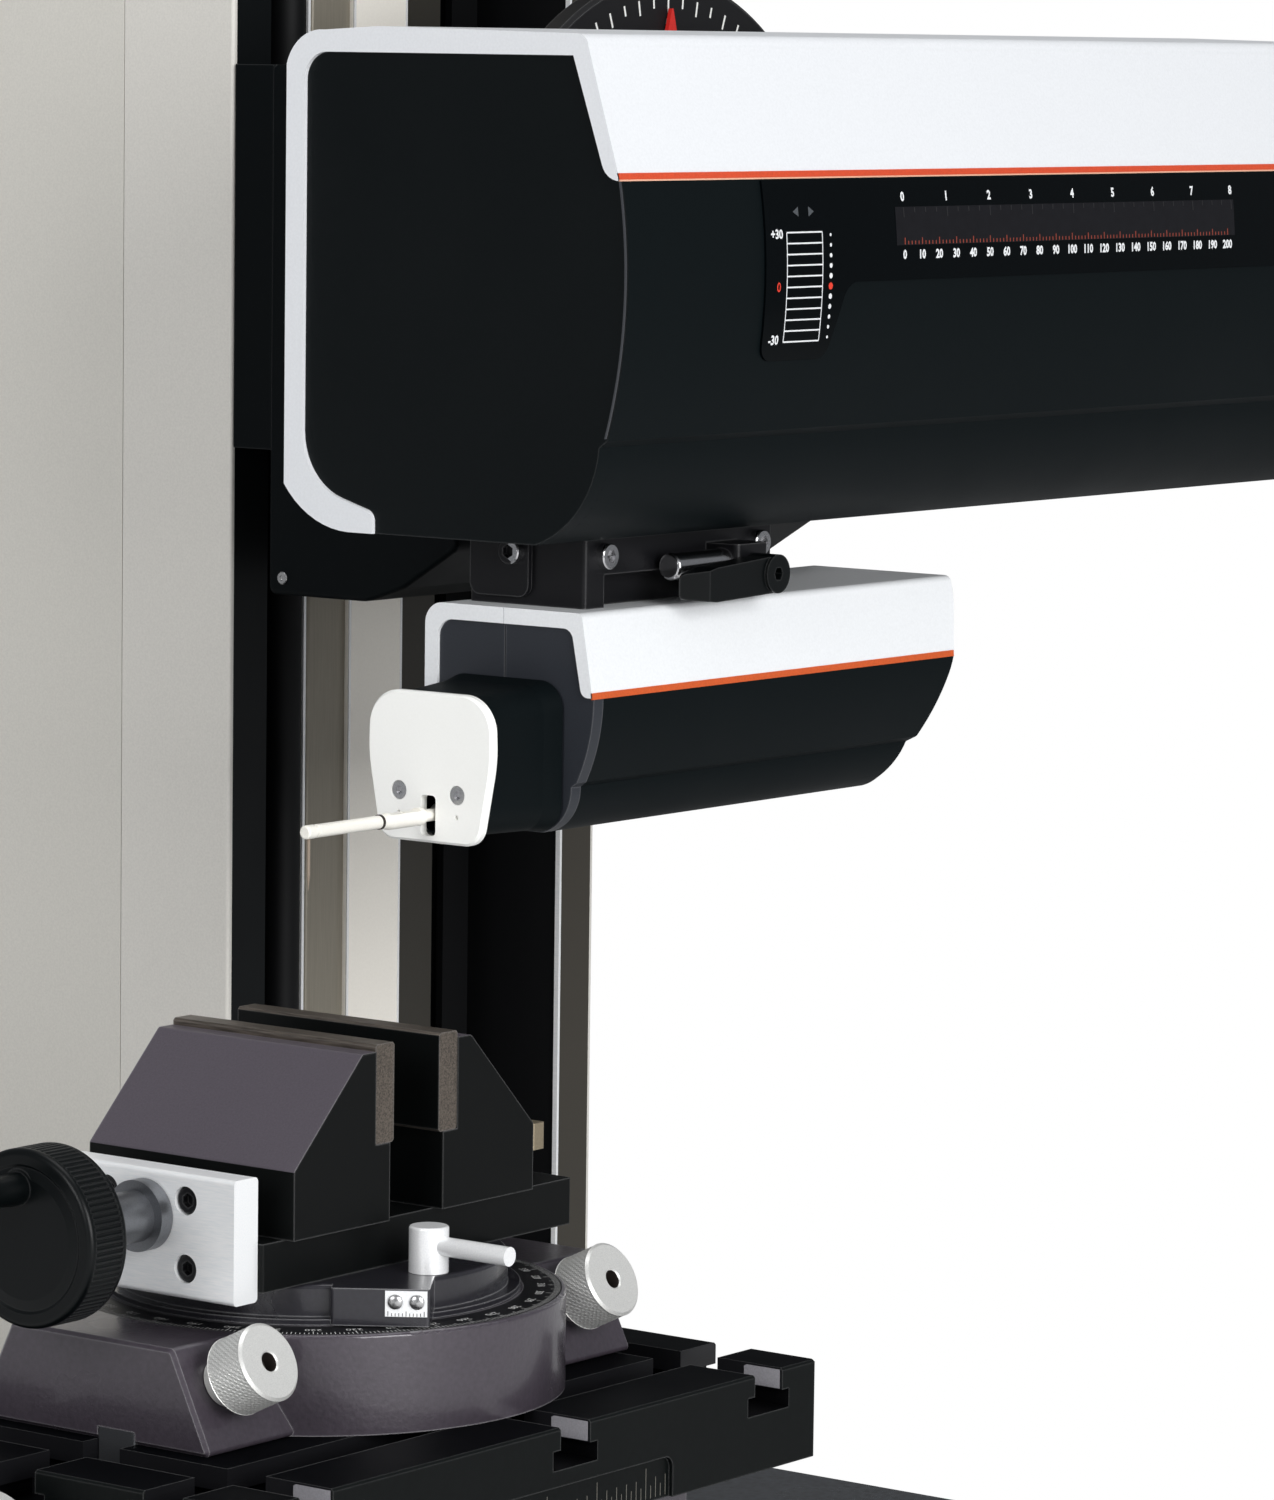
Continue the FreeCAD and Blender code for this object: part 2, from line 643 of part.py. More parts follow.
def rake(x0, grow=0.0):
    """Side view of the detector: its far end leans back towards the underside."""
    g = grow
    pts = [(x0, -80), (DET_X1 - 1 + g, -80), (DET_X1 - 1 + g, DET_TOP), (DET_X1 + g, -121),
           (81.3 + g, -143.6), (69.4 + g, -168.9), (66.0 + g, -171.0), (57.0 + g, -183.0),
           (52.0 + g, -220), (x0, -220)]
    return prism_xz(pts, [0, 0, 3, 20, 40, 0, 0, 3, 0, 0], 0, 140)


def detector_region(x0, x1):
    pts = [(-30, DET_LINE - 0.5), (60, DET_LINE - 0.5), (60, -165.0), (88.0, -165.0), (88.0, -220),
           (-30, -220)]
    return prism_yz(pts, [0] * 6, x0, x1)


def detector_open(x0, x1):
    pts = [(-30, DET_LINE - 0.5), (36.2, DET_LINE - 0.5), (40.5, -119.8), (95.0, -119.8), (95.0, -172),
           (86, -181), (86, -220), (-30, -220)]
    return prism_yz(pts, [0, 3, 4, 6, 8, 3, 0, 0], x0, x1)


def detector_shell():
    a = DET_X0 + 6
    outer = detector_prism(a, DET_X1 + 2).common(rake(a))
    inner = detector_prism(a - 1, DET_X1 + 2, 3.0).common(rake(a - 1, -3.5))
    return outer.cut(inner)


def detector_housing():
    return detector_shell().common(detector_region(DET_X0, DET_X1 + 5))


def detector_cover():
    return detector_shell().cut(detector_region(DET_X0, DET_X1 + 5))


def detector_end_frame():
    frame = detector_prism(DET_X0, DET_X0 + 6).cut(detector_open(DET_X0 - 1, DET_X0 + 7))
    return frame.cut(box(DET_X0 - 1, DET_X0 + 0.5, MID_Y - 0.2, MID_Y + 0.2, -130, -100))


def detector_end_panel():
    panel = detector_prism(DET_X0 + 1, DET_X0 + 6).common(detector_open(DET_X0, DET_X0 + 7))
    return panel.cut(box(DET_X0, DET_X0 + 1.6, MID_Y - 0.2, MID_Y + 0.2, -190, -100))


def nose_section(x, y0, y1, z0, z1, r):
    pts = [(y0, z0), (y1, z0), (y1, z1), (y0, z1)]
    return rounded_wire(pts, [r] * 4, lambda y, z: Vector(x, y, z))


def nose_shroud():
    """Lofted nose: a wide collar at the body that closes in towards the plate."""
    a = DET_X0
    spigot = prism_yz([(47, -179), (84, -179), (84, -145), (47, -145)], [6] * 4, a - 1, a + 1)
    loft = Part.makeLoft([nose_section(a, 43.6, 92.6, -185.6, -137.0, 9.0),
                          nose_section(a - 8, 45.0, 91.2, -185.0, -138.4, 9.0),
                          nose_section(NOSE_X, 46.6, 89.8, -184.6, -140.2, 10.0)], True, True)
    pocket = box(NOSE_X - 1, -132, 61, 75.5, -184, -166)
    s = loft.fuse(spigot).cut(pocket)
    s = s.cut(rod(ARM_X, 56, ARM_Z, AY, 2.0 + RUN_FIT, 25))
    return s


def nose_plate():
    """Cream plate, wider at its top, with rounded sides."""
    pts = [(48.2, -187.4), (88.6, -187.4), (93.8, -160.0), (93.0, -139.4), (43.8, -139.4), (43.0, -160.0)]
    wire = rounded_wire(pts, [7, 7, 50, 12, 12, 50], lambda y, z: Vector(NOSE_X, y, z))
    s = Part.Face(wire).extrude(Vector(-3, 0, 0))
    rim = [e for e in s.Edges if e.BoundBox.XMax < NOSE_X - 2.99]
    s = s.makeChamfer(0.8, rim)
    corners = [(65.6, -185.2), (71.6, -185.2), (71.6, -172.2), (65.6, -172.2)]
    slot = prism_yz(corners, [1.5] * 4, NOSE_X - 4, NOSE_X + 1)
    s = s.cut(slot)
    for y in (57.0, 80.6):
        s = s.cut(rod(NOSE_X - 4, y, -171.4, AX, 3.1, 3.2))
        s = s.cut(rod(NOSE_X - 4, y, -171.4, AX, 1.5, 5))
        s = s.cut(rod(NOSE_X - 4, y, -178.5, AX, 0.8, 2.4))
    return s


def nose_screws():
    base = socket_screw(3.0, 2.0, 1.5, 0.8, 2.6)
    return group([aim(base, Vector(NOSE_X - 0.8, y, -171.4), Vector(-1, 0, 0)) for y in (57.0, 80.6)])


def stylus_arm():
    """Arm on its cross pin: tail, round arm through the slot, flat holder, bare rod."""
    y = 68.6
    s = box(ARM_X - 3, ARM_X + 9, y - 3, y + 3, ARM_Z - 2.2, ARM_Z + 2.2)
    s = s.fuse(rod(ARM_X, 57, ARM_Z, AY, 2.0, 23))
    steps = [(-148.0, 0), (-148.0, 2.0), (-163.0, 2.0), (-164.0, 2.9), (-180.0, 2.9), (-184.0, 2.1),
             (-204.0, 2.0), (-206.0, 1.5), (-217.0, 1.5), (-217.0, 0)]
    outline = [Vector(x, r, 0) for x, r in steps]
    arm = Part.Face(Part.makePolygon(outline + [outline[0]])).revolve(Vector(0, 0, 0), AX, 360)
    arm.translate(Vector(0, y, ARM_Z))
    flat = box(-181, -166, y - 4, y + 4, ARM_Z + 2.0, ARM_Z + 5)
    s = s.fuse(arm).cut(flat)
    s = s.cut(rod(-173, y, ARM_Z, AZ, 0.9, 4))
    return s.removeSplitter()


def stylus_tip():
    y = 68.6
    head = rod(TIP_X - 2, y, ARM_Z, AX, 2.2, 4)
    ends = [e for e in head.Edges if e.BoundBox.XMax < TIP_X - 1.9]
    head = head.makeFillet(0.7, ends)
    shank = rod(TIP_X, y, TIP_Z + 5, AZ, 0.6, ARM_Z - TIP_Z - 5)
    cone = Part.makeCone(0.08, 0.6, 5.0, Vector(TIP_X, y, TIP_Z), AZ)
    return head.fuse(shank).fuse(cone).removeSplitter()


# Cross table


def tee_x(y):
    n = SLOT_W / 2
    h = SLOT_HEAD_W / 2
    z = TAB_TOP
    pts = [(y - n, z + 1), (y - n, z - SLOT_NECK), (y - h, z - SLOT_NECK), (y - h, z - SLOT_NECK - SLOT_HEAD),
           (y + h, z - SLOT_NECK - SLOT_HEAD), (y + h, z - SLOT_NECK), (y + n, z - SLOT_NECK), (y + n, z + 1)]
    return prism_yz(pts, [0] * 8, TAB_X - TAB_LX, TAB_X + TAB_LX)


def tee_y(x):
    n = SLOT_W / 2
    h = SLOT_HEAD_W / 2
    z = TAB_TOP
    pts = [(x - n, z + 1), (x - n, z - SLOT_NECK), (x - h, z - SLOT_NECK), (x - h, z - SLOT_NECK - SLOT_HEAD),
           (x + h, z - SLOT_NECK - SLOT_HEAD), (x + h, z - SLOT_NECK), (x + n, z - SLOT_NECK), (x + n, z + 1)]
    return prism_xz(pts, [0] * 8, TAB_Y - TAB_LY, TAB_Y + TAB_LY)


def dovetail(c, plane, below, grow):
    """Section of the slide that stands on a plane; grow widens the groove for its running fit."""
    lean = (DOVE_HIGH - DOVE_LOW) / DOVE_H
    low = DOVE_LOW - lean * below + grow
    high = DOVE_HIGH + lean * grow + grow
    top = plane + DOVE_H + grow
    return [(c - low, plane - below), (c + low, plane - below), (c + high, top), (c - high, top)]


DOVE_LOW = 26.0
DOVE_HIGH = 31.0
DOVE_H = 10.0
BOT = TAB_TOP - TAB_T
SADDLE_LOW = 143.0
FEED_X_Z = BOT + 5.5
FEED_Y_Z = SADDLE_LOW + 5.5


def table_top():
    x0 = TAB_X - TAB_LX / 2
    x1 = TAB_X + TAB_LX / 2
    y0 = TAB_Y - TAB_LY / 2
    y1 = TAB_Y + TAB_LY / 2
    s = slab(x0, x1, y0, y1, BOT, TAB_TOP, 2.0)
    rim = [e for e in s.Edges if e.BoundBox.ZMin > TAB_TOP - 0.01]
    s = s.makeChamfer(0.8, rim)
    for k in (-1, 0, 1):
        s = s.cut(tee_x(TAB_Y + k * SLOT_PITCH))
    for x in CROSS_SLOTS:
        s = s.cut(tee_y(x))
    s = s.cut(prism_yz(dovetail(TAB_Y, BOT, 0.2, RUN_FIT), [0] * 4, x0 - 1, x1 + 1))
    a = x0 + 64
    b = x1 - 77
    window = prism_xz([(a, BOT - 1), (b, BOT - 1), (b, BOT + 13.2), (a, BOT + 13.2)], [0, 0, 4, 4],
                      y0 - 1, y0 + 1.5)
    s = s.cut(window)
    bracket = slab(x0 - 10, x0, TAB_Y - 42, TAB_Y + 42, BOT - 12, BOT + 15, 2.0)
    bracket = bracket.cut(rod(x0 - 11, TAB_Y, FEED_X_Z, AX, 4.0 + RUN_FIT, 12))
    return s.fuse(bracket).removeSplitter()


def table_saddle():
    x0 = TAB_X - TAB_LX / 2 + 54
    x1 = TAB_X + TAB_LX / 2 - 54
    y0 = TAB_Y - TAB_LY / 2 + 10
    y1 = TAB_Y + TAB_LY / 2 - 10
    s = slab(x0, x1, y0, y1, SADDLE_LOW, BOT - RUN_FIT, 3.0)
    s = s.fuse(prism_yz(dovetail(TAB_Y, BOT, 1.0, 0), [0] * 4, x0, x1))
    s = s.cut(box(x0 - 1, x1 + 1, TAB_Y - 7, TAB_Y + 7, FEED_X_Z - 6, BOT + 20))
    s = s.cut(prism_xz(dovetail(TAB_X, SADDLE_LOW, 0.2, RUN_FIT), [0] * 4, y0 - 1, y1 + 1))
    bracket = slab(TAB_X - 42, TAB_X + 42, y0 - 10, y0, SADDLE_LOW, BOT - 4, 2.0)
    bracket = bracket.cut(rod(TAB_X, y0 - 11, FEED_Y_Z, AY, 4.0 + RUN_FIT, 12))
    return s.fuse(bracket).removeSplitter()


def table_base():
    x0 = TAB_X - TAB_LX / 2 + 50
    x1 = TAB_X + TAB_LX / 2 - 50
    y0 = TAB_Y - TAB_LY / 2 + 37.5
    y1 = TAB_Y + TAB_LY / 2 - 34.5
    s = slab(x0, x1, y0, y1, SLAB_Z, SADDLE_LOW - RUN_FIT, 4.0)
    s = s.fuse(prism_xz(dovetail(TAB_X, SADDLE_LOW, 1.0, 0), [0] * 4, y0, y1))
    s = s.cut(box(TAB_X - 7, TAB_X + 7, y0 - 1, y1 + 1, FEED_Y_Z - 6, SADDLE_LOW + 20))
    return s.removeSplitter()


def dial(length):
    """Feed dial along +Z from its bracket: graduated collar, knurled grip, hollow face."""
    s = rod(0, 0, 0, AZ, 21.0, 7.0)
    grip = rod(0, 0, 7.0, AZ, 24.0, 14.0)
    grip = grip.makeChamfer(1.0, [e for e in grip.Edges if e.Length > 100 and e.BoundBox.ZLength < 0.1])
    s = s.fuse(grip)
    s = s.cut(rod(0, 0, 18.0, AZ, 16.0, 4.0))
    for k in range(36):
        a = math.radians(10 * k)
        flute = rod(25.0 * math.cos(a), 25.0 * math.sin(a), 8.5, AZ, 1.6, 11.0)
        s = s.cut(flute)
    s = s.fuse(rod(0, 0, -length, AZ, 4.0, length + 1))
    return s.removeSplitter()


def x_dial():
    x0 = TAB_X - TAB_LX / 2 - 10
    return aim(dial(190.0), Vector(x0 - GAP, TAB_Y, FEED_X_Z), Vector(-1, 0, 0))


def y_dial():
    return aim(dial(120.0), Vector(TAB_X, TAB_Y - TAB_LY / 2 - GAP, FEED_Y_Z), Vector(0, -1, 0))


# Rotary vise, in its own frame


KEY_Y = TAB_Y - VISE.y
SLOPE = math.atan2(CAST_LOW_Y - CAST_TOP_Y, CAST_H)
SLOPE_N = Vector(0, -math.cos(SLOPE), math.sin(SLOPE))
KNOB_Z = 19.0
KNOB_Y = -(CAST_LOW_Y - (CAST_LOW_Y - CAST_TOP_Y) * KNOB_Z / CAST_H)
KNOB_LEFT = -CAST_HALF + 16.0
KNOB_RIGHT = CAST_HALF - 23.5


def vise_base():
    pts = [(-CAST_LOW_Y, 0), (CAST_LOW_Y, 0), (CAST_TOP_Y, CAST_H), (-CAST_TOP_Y, CAST_H)]
    s = prism_yz(pts, [1.5, 1.5, 2.5, 2.5], -CAST_HALF, CAST_HALF)
    ends = [e for e in s.Edges if e.BoundBox.XLength < 0.01 and e.Length > 20]
    s = s.makeChamfer(1.2, ends)
    drum = rod(0, 0, 0, AZ, DRUM_R, CAST_H)
    drum = drum.makeFillet(1.2, [e for e in drum.Edges if e.BoundBox.ZMin > CAST_H - 0.01])
    s = s.fuse(drum)
    s = s.cut(tube(0, 0, CAST_H - 1.6, AZ, DRUM_R - 1.4, RING_R0, 3))
    s = s.cut(rod(0, 0, 8, AZ, SPIGOT_R + RUN_FIT, 40))
    s = s.cut(box(-CAST_HALF - 1, -CAST_HALF + 26, KEY_Y - SLOT_W / 2, KEY_Y + SLOT_W / 2, -1, 3.7))
    for x in (KNOB_LEFT, KNOB_RIGHT):
        start = Vector(x, KNOB_Y, KNOB_Z) - SLOPE_N * 13.0
        s = s.cut(Part.makeCylinder(4.0 + RUN_FIT, 14.0, start, SLOPE_N))
    return s.removeSplitter()


def vise_key():
    s = slab(-CAST_HALF, -CAST_HALF + 26, KEY_Y - 7.3, KEY_Y + 7.3, -SLOT_NECK + 0.2, 3.7, 0.6)
    return s


def scale_ring():
    s = tube(0, 0, CAST_H - 1.6, AZ, DRUM_R - 1.4, RING_R0, 1.6)
    return s


def turntable():
    """Turning body: thin flange, raised disc, and the pad that carries the vernier."""
    s = rod(0, 0, CAST_H + 0.1, AZ, FLANGE_R, 1.9)
    body = rod(0, 0, CAST_H + 2, AZ, BODY_R, TURN_TOP - CAST_H - 2)
    body = body.makeFillet(1.5, [e for e in body.Edges if e.BoundBox.ZMin > TURN_TOP - 0.01])
    s = s.fuse(body)
    pad = slab(-41, -11, FLANGE_R - 25, FLANGE_R + 0.4, CAST_H + 0.4, TURN_TOP, 1.0)
    pad = pad.cut(rod(0, 0, CAST_H - 1, AZ, FLANGE_R - 20, 2))
    pad.rotate(Vector(0, 0, 0), AZ, 125.0)
    s = s.fuse(pad)
    s = s.fuse(rod(0, 0, 10, AZ, SPIGOT_R, CAST_H - 9))
    s = s.cut(rod(-8.2, LOCK_Y, TURN_TOP - 8, AZ, 3.0 + RUN_FIT, 9))
    return s.removeSplitter()


def slide_bar():
    s = slab(BAR_X0, BAR_X1, -BAR_Y, BAR_Y, TURN_TOP, BAR_TOP, 1.0)
    s = s.cut(box(BAR_X0 - 1, BAR_X1 + 1, -9, 9, BAR_TOP - 8, BAR_TOP + 1))
    for y in (-15.8, 15.8):
        s = s.cut(rod(BAR_X0 - 1, y, 49.5, AX, 2.5, 14))
    return s


def end_plate():
    x0 = BAR_X0 - 11
    s = prism_xz([(x0, 40.2), (BAR_X0, 40.2), (BAR_X0, 78.5), (x0, 78.5)], [1.5] * 4, 2 - BAR_Y,
                 BAR_Y - 2)
    s = s.cut(rod(x0 - 1, 0, VSCREW_Z, AX, 6.0 + RUN_FIT, 13))
    for y in (-15.8, 15.8):
        for z in (49.5, 70.3):
            s = s.cut(rod(x0 - 1, y, z, AX, 4.4, 6.0))
            s = s.cut(rod(x0 - 1, y, z, AX, 2.5, 13))
    return s


def end_plate_screws():
    x0 = BAR_X0 - 11
    base = socket_screw(4.2, 4.0, 2.5, 5.8, 4.0)
    items = []
    for y in (-15.8, 15.8):
        for z in (49.5, 70.3):
            items.append(aim(base, Vector(x0 + 5.0, y, z), Vector(-1, 0, 0)))
    return group(items)


def vise_screw():
    s = rod(-131.9, 0, VSCREW_Z, AX, VSCREW_R, 187.9)
    s = s.fuse(rod(BAR_X0 - 12, 0, VSCREW_Z, AX, 6.0, 12))
    s = s.fuse(rod(-117, 0, VSCREW_Z, AX, 8.0, 117 + BAR_X0 - 11 - GAP))
    s = s.fuse(rod(BAR_X0 - 11 - GAP - 5, 0, VSCREW_Z, AX, 11.0, 5))
    return s.removeSplitter()


def handwheel():
    s = rod(-134, 0, VSCREW_Z, AX, WHEEL_R, 17)
    rims = [e for e in s.Edges if e.BoundBox.XLength < 0.01]
    s = s.makeFillet(2.0, rims)
    dish = Part.makeCone(22.5, 20.0, 1.5, Vector(-134, 0, VSCREW_Z), AX)
    dome = Part.makeSphere(120.0, Vector(-135.4 + 120.0, 0, VSCREW_Z))
    s = s.cut(dish.cut(dome))
    for k in range(90):
        a = math.radians(4 * k)
        y = (WHEEL_R + 0.3) * math.cos(a)
        z = VSCREW_Z + (WHEEL_R + 0.3) * math.sin(a)
        s = s.cut(rod(-131.4, y, z, AX, 0.75, 11.8))
    s = s.cut(rod(-132, 0, VSCREW_Z, AX, VSCREW_R, 17))
    profile = [Vector(-134, 0, 0), Vector(-134, 4.6, 0), Vector(-140, 5.0, 0), Vector(-150, 4.3, 0),
               Vector(-158, 5.0, 0), Vector(-162, 3.2, 0), Vector(-162.6, 0, 0)]
    curve = Part.BSplineCurve()
    curve.interpolate(profile[1:])
    wire = Part.Wire([Part.LineSegment(profile[0], profile[1]).toShape(), curve.toShape(),
                      Part.LineSegment(profile[-1], profile[0]).toShape()])
    grip = Part.Face(wire).revolve(Vector(0, 0, 0), AX, 360)
    grip.translate(Vector(2.0, 2.0, VSCREW_Z + 15.0))
    s = s.fuse(grip)
    post = rod(-134, 2.0, VSCREW_Z + 15.0, AX, 6.0, 8)
    return s.fuse(post).removeSplitter()


def jaw(side):
    """Wedge jaw: upright inner face with the plate seat, sloped back, tongue in the bar."""
    i = JAW_GAP / 2
    pts = [(i + 2, BAR_TOP + RUN_FIT), (JAW_OUT, BAR_TOP + RUN_FIT), (JAW_OUT, 79.3), (26.5, JAW_TOP),
           (i + 9, JAW_TOP), (i + 9, 82.5), (i + 2, 82.5)]
    s = prism_xz(pts, [0, 0, 1.5, 1.5, 0, 0, 0], -JAW_Y, JAW_Y)
    tongue = box(i + 6, JAW_OUT - 4, -9 + RUN_FIT, 9 - RUN_FIT, BAR_TOP - 8 + RUN_FIT, BAR_TOP + 1)
    s = s.fuse(tongue)
    s = s.cut(rod(0, 0, VSCREW_Z, AX, VSCREW_R + 0.1, 100))
    if side > 0:
        lug = slab(JAW_OUT, JAW_OUT + 6, -JAW_Y, -JAW_Y + 12, 70.5, 79.0, 1.0)
        s = s.fuse(lug)
    s = s.removeSplitter()
    if side < 0:
        s = mirror_x(s, 0)
    return s


def jaw_plate(side):
    i = JAW_GAP / 2
    s = box(i, i + 9, -JAW_Y + 0.3, JAW_Y - 0.3, 82.5, PLATE_TOP)
    s = s.makeChamfer(0.8, [e for e in s.Edges if e.Length > 1.5 * JAW_Y])
    if side < 0:
        s = mirror_x(s, 0)
    return s


def lock_lever():
    x = -8.2
    y = LOCK_Y
    post = rod(x, y, TURN_TOP + 0.1, AZ, 6.2, 14.4)
    post = post.makeFillet(0.8, [e for e in post.Edges if e.BoundBox.ZMin > TURN_TOP + 14.4])
    s = post.fuse(rod(x, y - 31.5, 51.6, AY, 3.0, 31.5))
    s = s.fuse(rod(x, y, TURN_TOP - 7, AZ, 3.0, 8))
    return s.removeSplitter()


def knob():
    """Clamping knob along +Z from the casting: stud, neck, knurled body, centre hole."""
    s = rod(0, 0, GAP, AZ, 7.5, 6.0)
    body = rod(0, 0, 6.0, AZ, 12.2, 15.0)
    body = body.makeChamfer(0.8, [e for e in body.Edges if e.BoundBox.ZLength < 0.01])
    s = s.fuse(body)
    s = s.cut(rod(0, 0, 18, AZ, 2.4, 4))
    s = s.fuse(rod(0, 0, -12, AZ, 4.0, 14))
    return s.removeSplitter()


def knob_at(x):
    return aim(knob(), Vector(x, KNOB_Y, KNOB_Z), SLOPE_N)


def main():
    fixed = {"granite_base": granite_base, "column_frame": column_frame,
             "column_side_covers": column_side_covers,
             "column_rear_cover": column_rear_cover, "column_trims": column_trims, "column_cap": column_cap,
             "guide_beam": guide_beam, "beam_cover": beam_cover, "guide_rails": guide_rails,
             "column_screw": column_screw, "slider_body": slider_body, "runner_blocks": runner_blocks,
             "screw_nut": screw_nut, "tilt_disc": tilt_disc, "table_base": table_base,
             "table_saddle": table_saddle, "table_top": table_top, "x_dial": x_dial, "y_dial": y_dial}
    for name, make in fixed.items():
        save(name, make())
    unit = {"drive_beam": drive_beam, "drive_cover": drive_cover, "drive_housing": drive_housing,
            "end_frames": end_frames, "end_panels": end_panels, "display_panel": display_panel,
            "tilt_spindle": tilt_spindle, "angle_pointer": angle_pointer, "drive_rail": drive_rail,
            "drive_screw": drive_screw, "carriage": carriage, "clamp_block": clamp_block,
            "block_plate": block_plate, "block_screws": block_screws, "clamp_rod": clamp_rod,
            "clamp_lever": clamp_lever, "detector_housing": detector_housing,
            "detector_cover": detector_cover,
            "detector_end_frame": detector_end_frame, "detector_end_panel": detector_end_panel,
            "nose_shroud": nose_shroud, "nose_plate": nose_plate, "nose_screws": nose_screws,
            "stylus_arm": stylus_arm, "stylus_tip": stylus_tip}
    for name, make in unit.items():
        save(name, make().translated(ZERO))
    vise = {"vise_base": vise_base, "vise_key": vise_key, "scale_ring": scale_ring, "turntable": turntable,
            "slide_bar": slide_bar, "end_plate": end_plate, "end_plate_screws": end_plate_screws,
            "vise_screw": vise_screw, "handwheel": handwheel, "lock_lever": lock_lever}
    for name, make in vise.items():
        save(name, make().translated(VISE))
    save("jaw_left", jaw(-1).translated(VISE))
    save("jaw_right", jaw(1).translated(VISE))
    save("jaw_plate_left", jaw_plate(-1).translated(VISE))
    save("jaw_plate_right", jaw_plate(1).translated(VISE))
    save("knob_left", knob_at(KNOB_LEFT).translated(VISE))
    save("knob_right", knob_at(KNOB_RIGHT).translated(VISE))


main()
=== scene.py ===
"""Looks of the contour measuring machine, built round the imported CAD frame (metres)."""

import json
import logging
import math
from dataclasses import dataclass, field
from enum import Enum
from typing import Any, Callable, Dict, List, Sequence, Tuple

import bpy
from mathutils import Matrix, Vector

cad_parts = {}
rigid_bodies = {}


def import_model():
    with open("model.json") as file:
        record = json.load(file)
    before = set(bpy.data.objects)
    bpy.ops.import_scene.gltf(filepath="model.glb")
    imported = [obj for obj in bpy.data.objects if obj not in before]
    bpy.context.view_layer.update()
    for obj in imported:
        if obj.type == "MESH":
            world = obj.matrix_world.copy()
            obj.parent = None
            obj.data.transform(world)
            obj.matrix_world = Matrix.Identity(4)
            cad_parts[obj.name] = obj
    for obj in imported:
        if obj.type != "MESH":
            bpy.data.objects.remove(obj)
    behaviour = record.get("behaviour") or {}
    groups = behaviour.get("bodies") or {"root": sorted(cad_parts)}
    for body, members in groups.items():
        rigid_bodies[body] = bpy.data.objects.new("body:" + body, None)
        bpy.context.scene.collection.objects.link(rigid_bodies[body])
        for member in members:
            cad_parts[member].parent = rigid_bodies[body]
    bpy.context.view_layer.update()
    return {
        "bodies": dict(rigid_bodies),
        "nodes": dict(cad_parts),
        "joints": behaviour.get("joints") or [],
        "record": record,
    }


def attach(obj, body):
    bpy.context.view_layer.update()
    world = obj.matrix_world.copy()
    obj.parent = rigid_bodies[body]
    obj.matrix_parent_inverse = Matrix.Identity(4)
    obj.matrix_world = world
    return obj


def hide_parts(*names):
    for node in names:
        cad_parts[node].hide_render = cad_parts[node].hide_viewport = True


LOG = logging.getLogger("scene")
MM = 0.001
PER_METRE = 1000.0
Colour = Tuple[float, float, float]
Pair = Tuple[float, float]
Point = Tuple[float, float, float]
Place = Callable[[float, float], Vector]
Faces = List[List[int]]

# Zeros of the drive frame and the vise frame, and the tilt axis at the protractor's face (row frame, mm)
DRIVE_ZERO: Point = (124.0, -163.0, 562.0)
VISE_ZERO: Point = (-92.0, -95.0, 209.5)
TILT: Point = (180.0, -24.0, 546.0)


class Pattern(Enum):
    """How the colour of a finish breaks up at close range."""

    NOISE = "noise"
    CELLS = "cells"


@dataclass(frozen=True)
class Finish:
    """One finish of the machine, with colours in screen values from 0 to 255."""

    name: str
    slot: str
    colour: Colour
    roughness: float = 0.45
    metallic: float = 0.0
    grain_mm: float = 0.5
    mottle: float = 0.05
    bump: float = 0.1
    # Edge lightening: partly wear, partly painted edge highlight
    edge: float = 0.0
    coat: float = 0.0
    lay: Point = (1.0, 1.0, 1.0)
    shine: float = 0.5
    pattern: Pattern = Pattern.NOISE


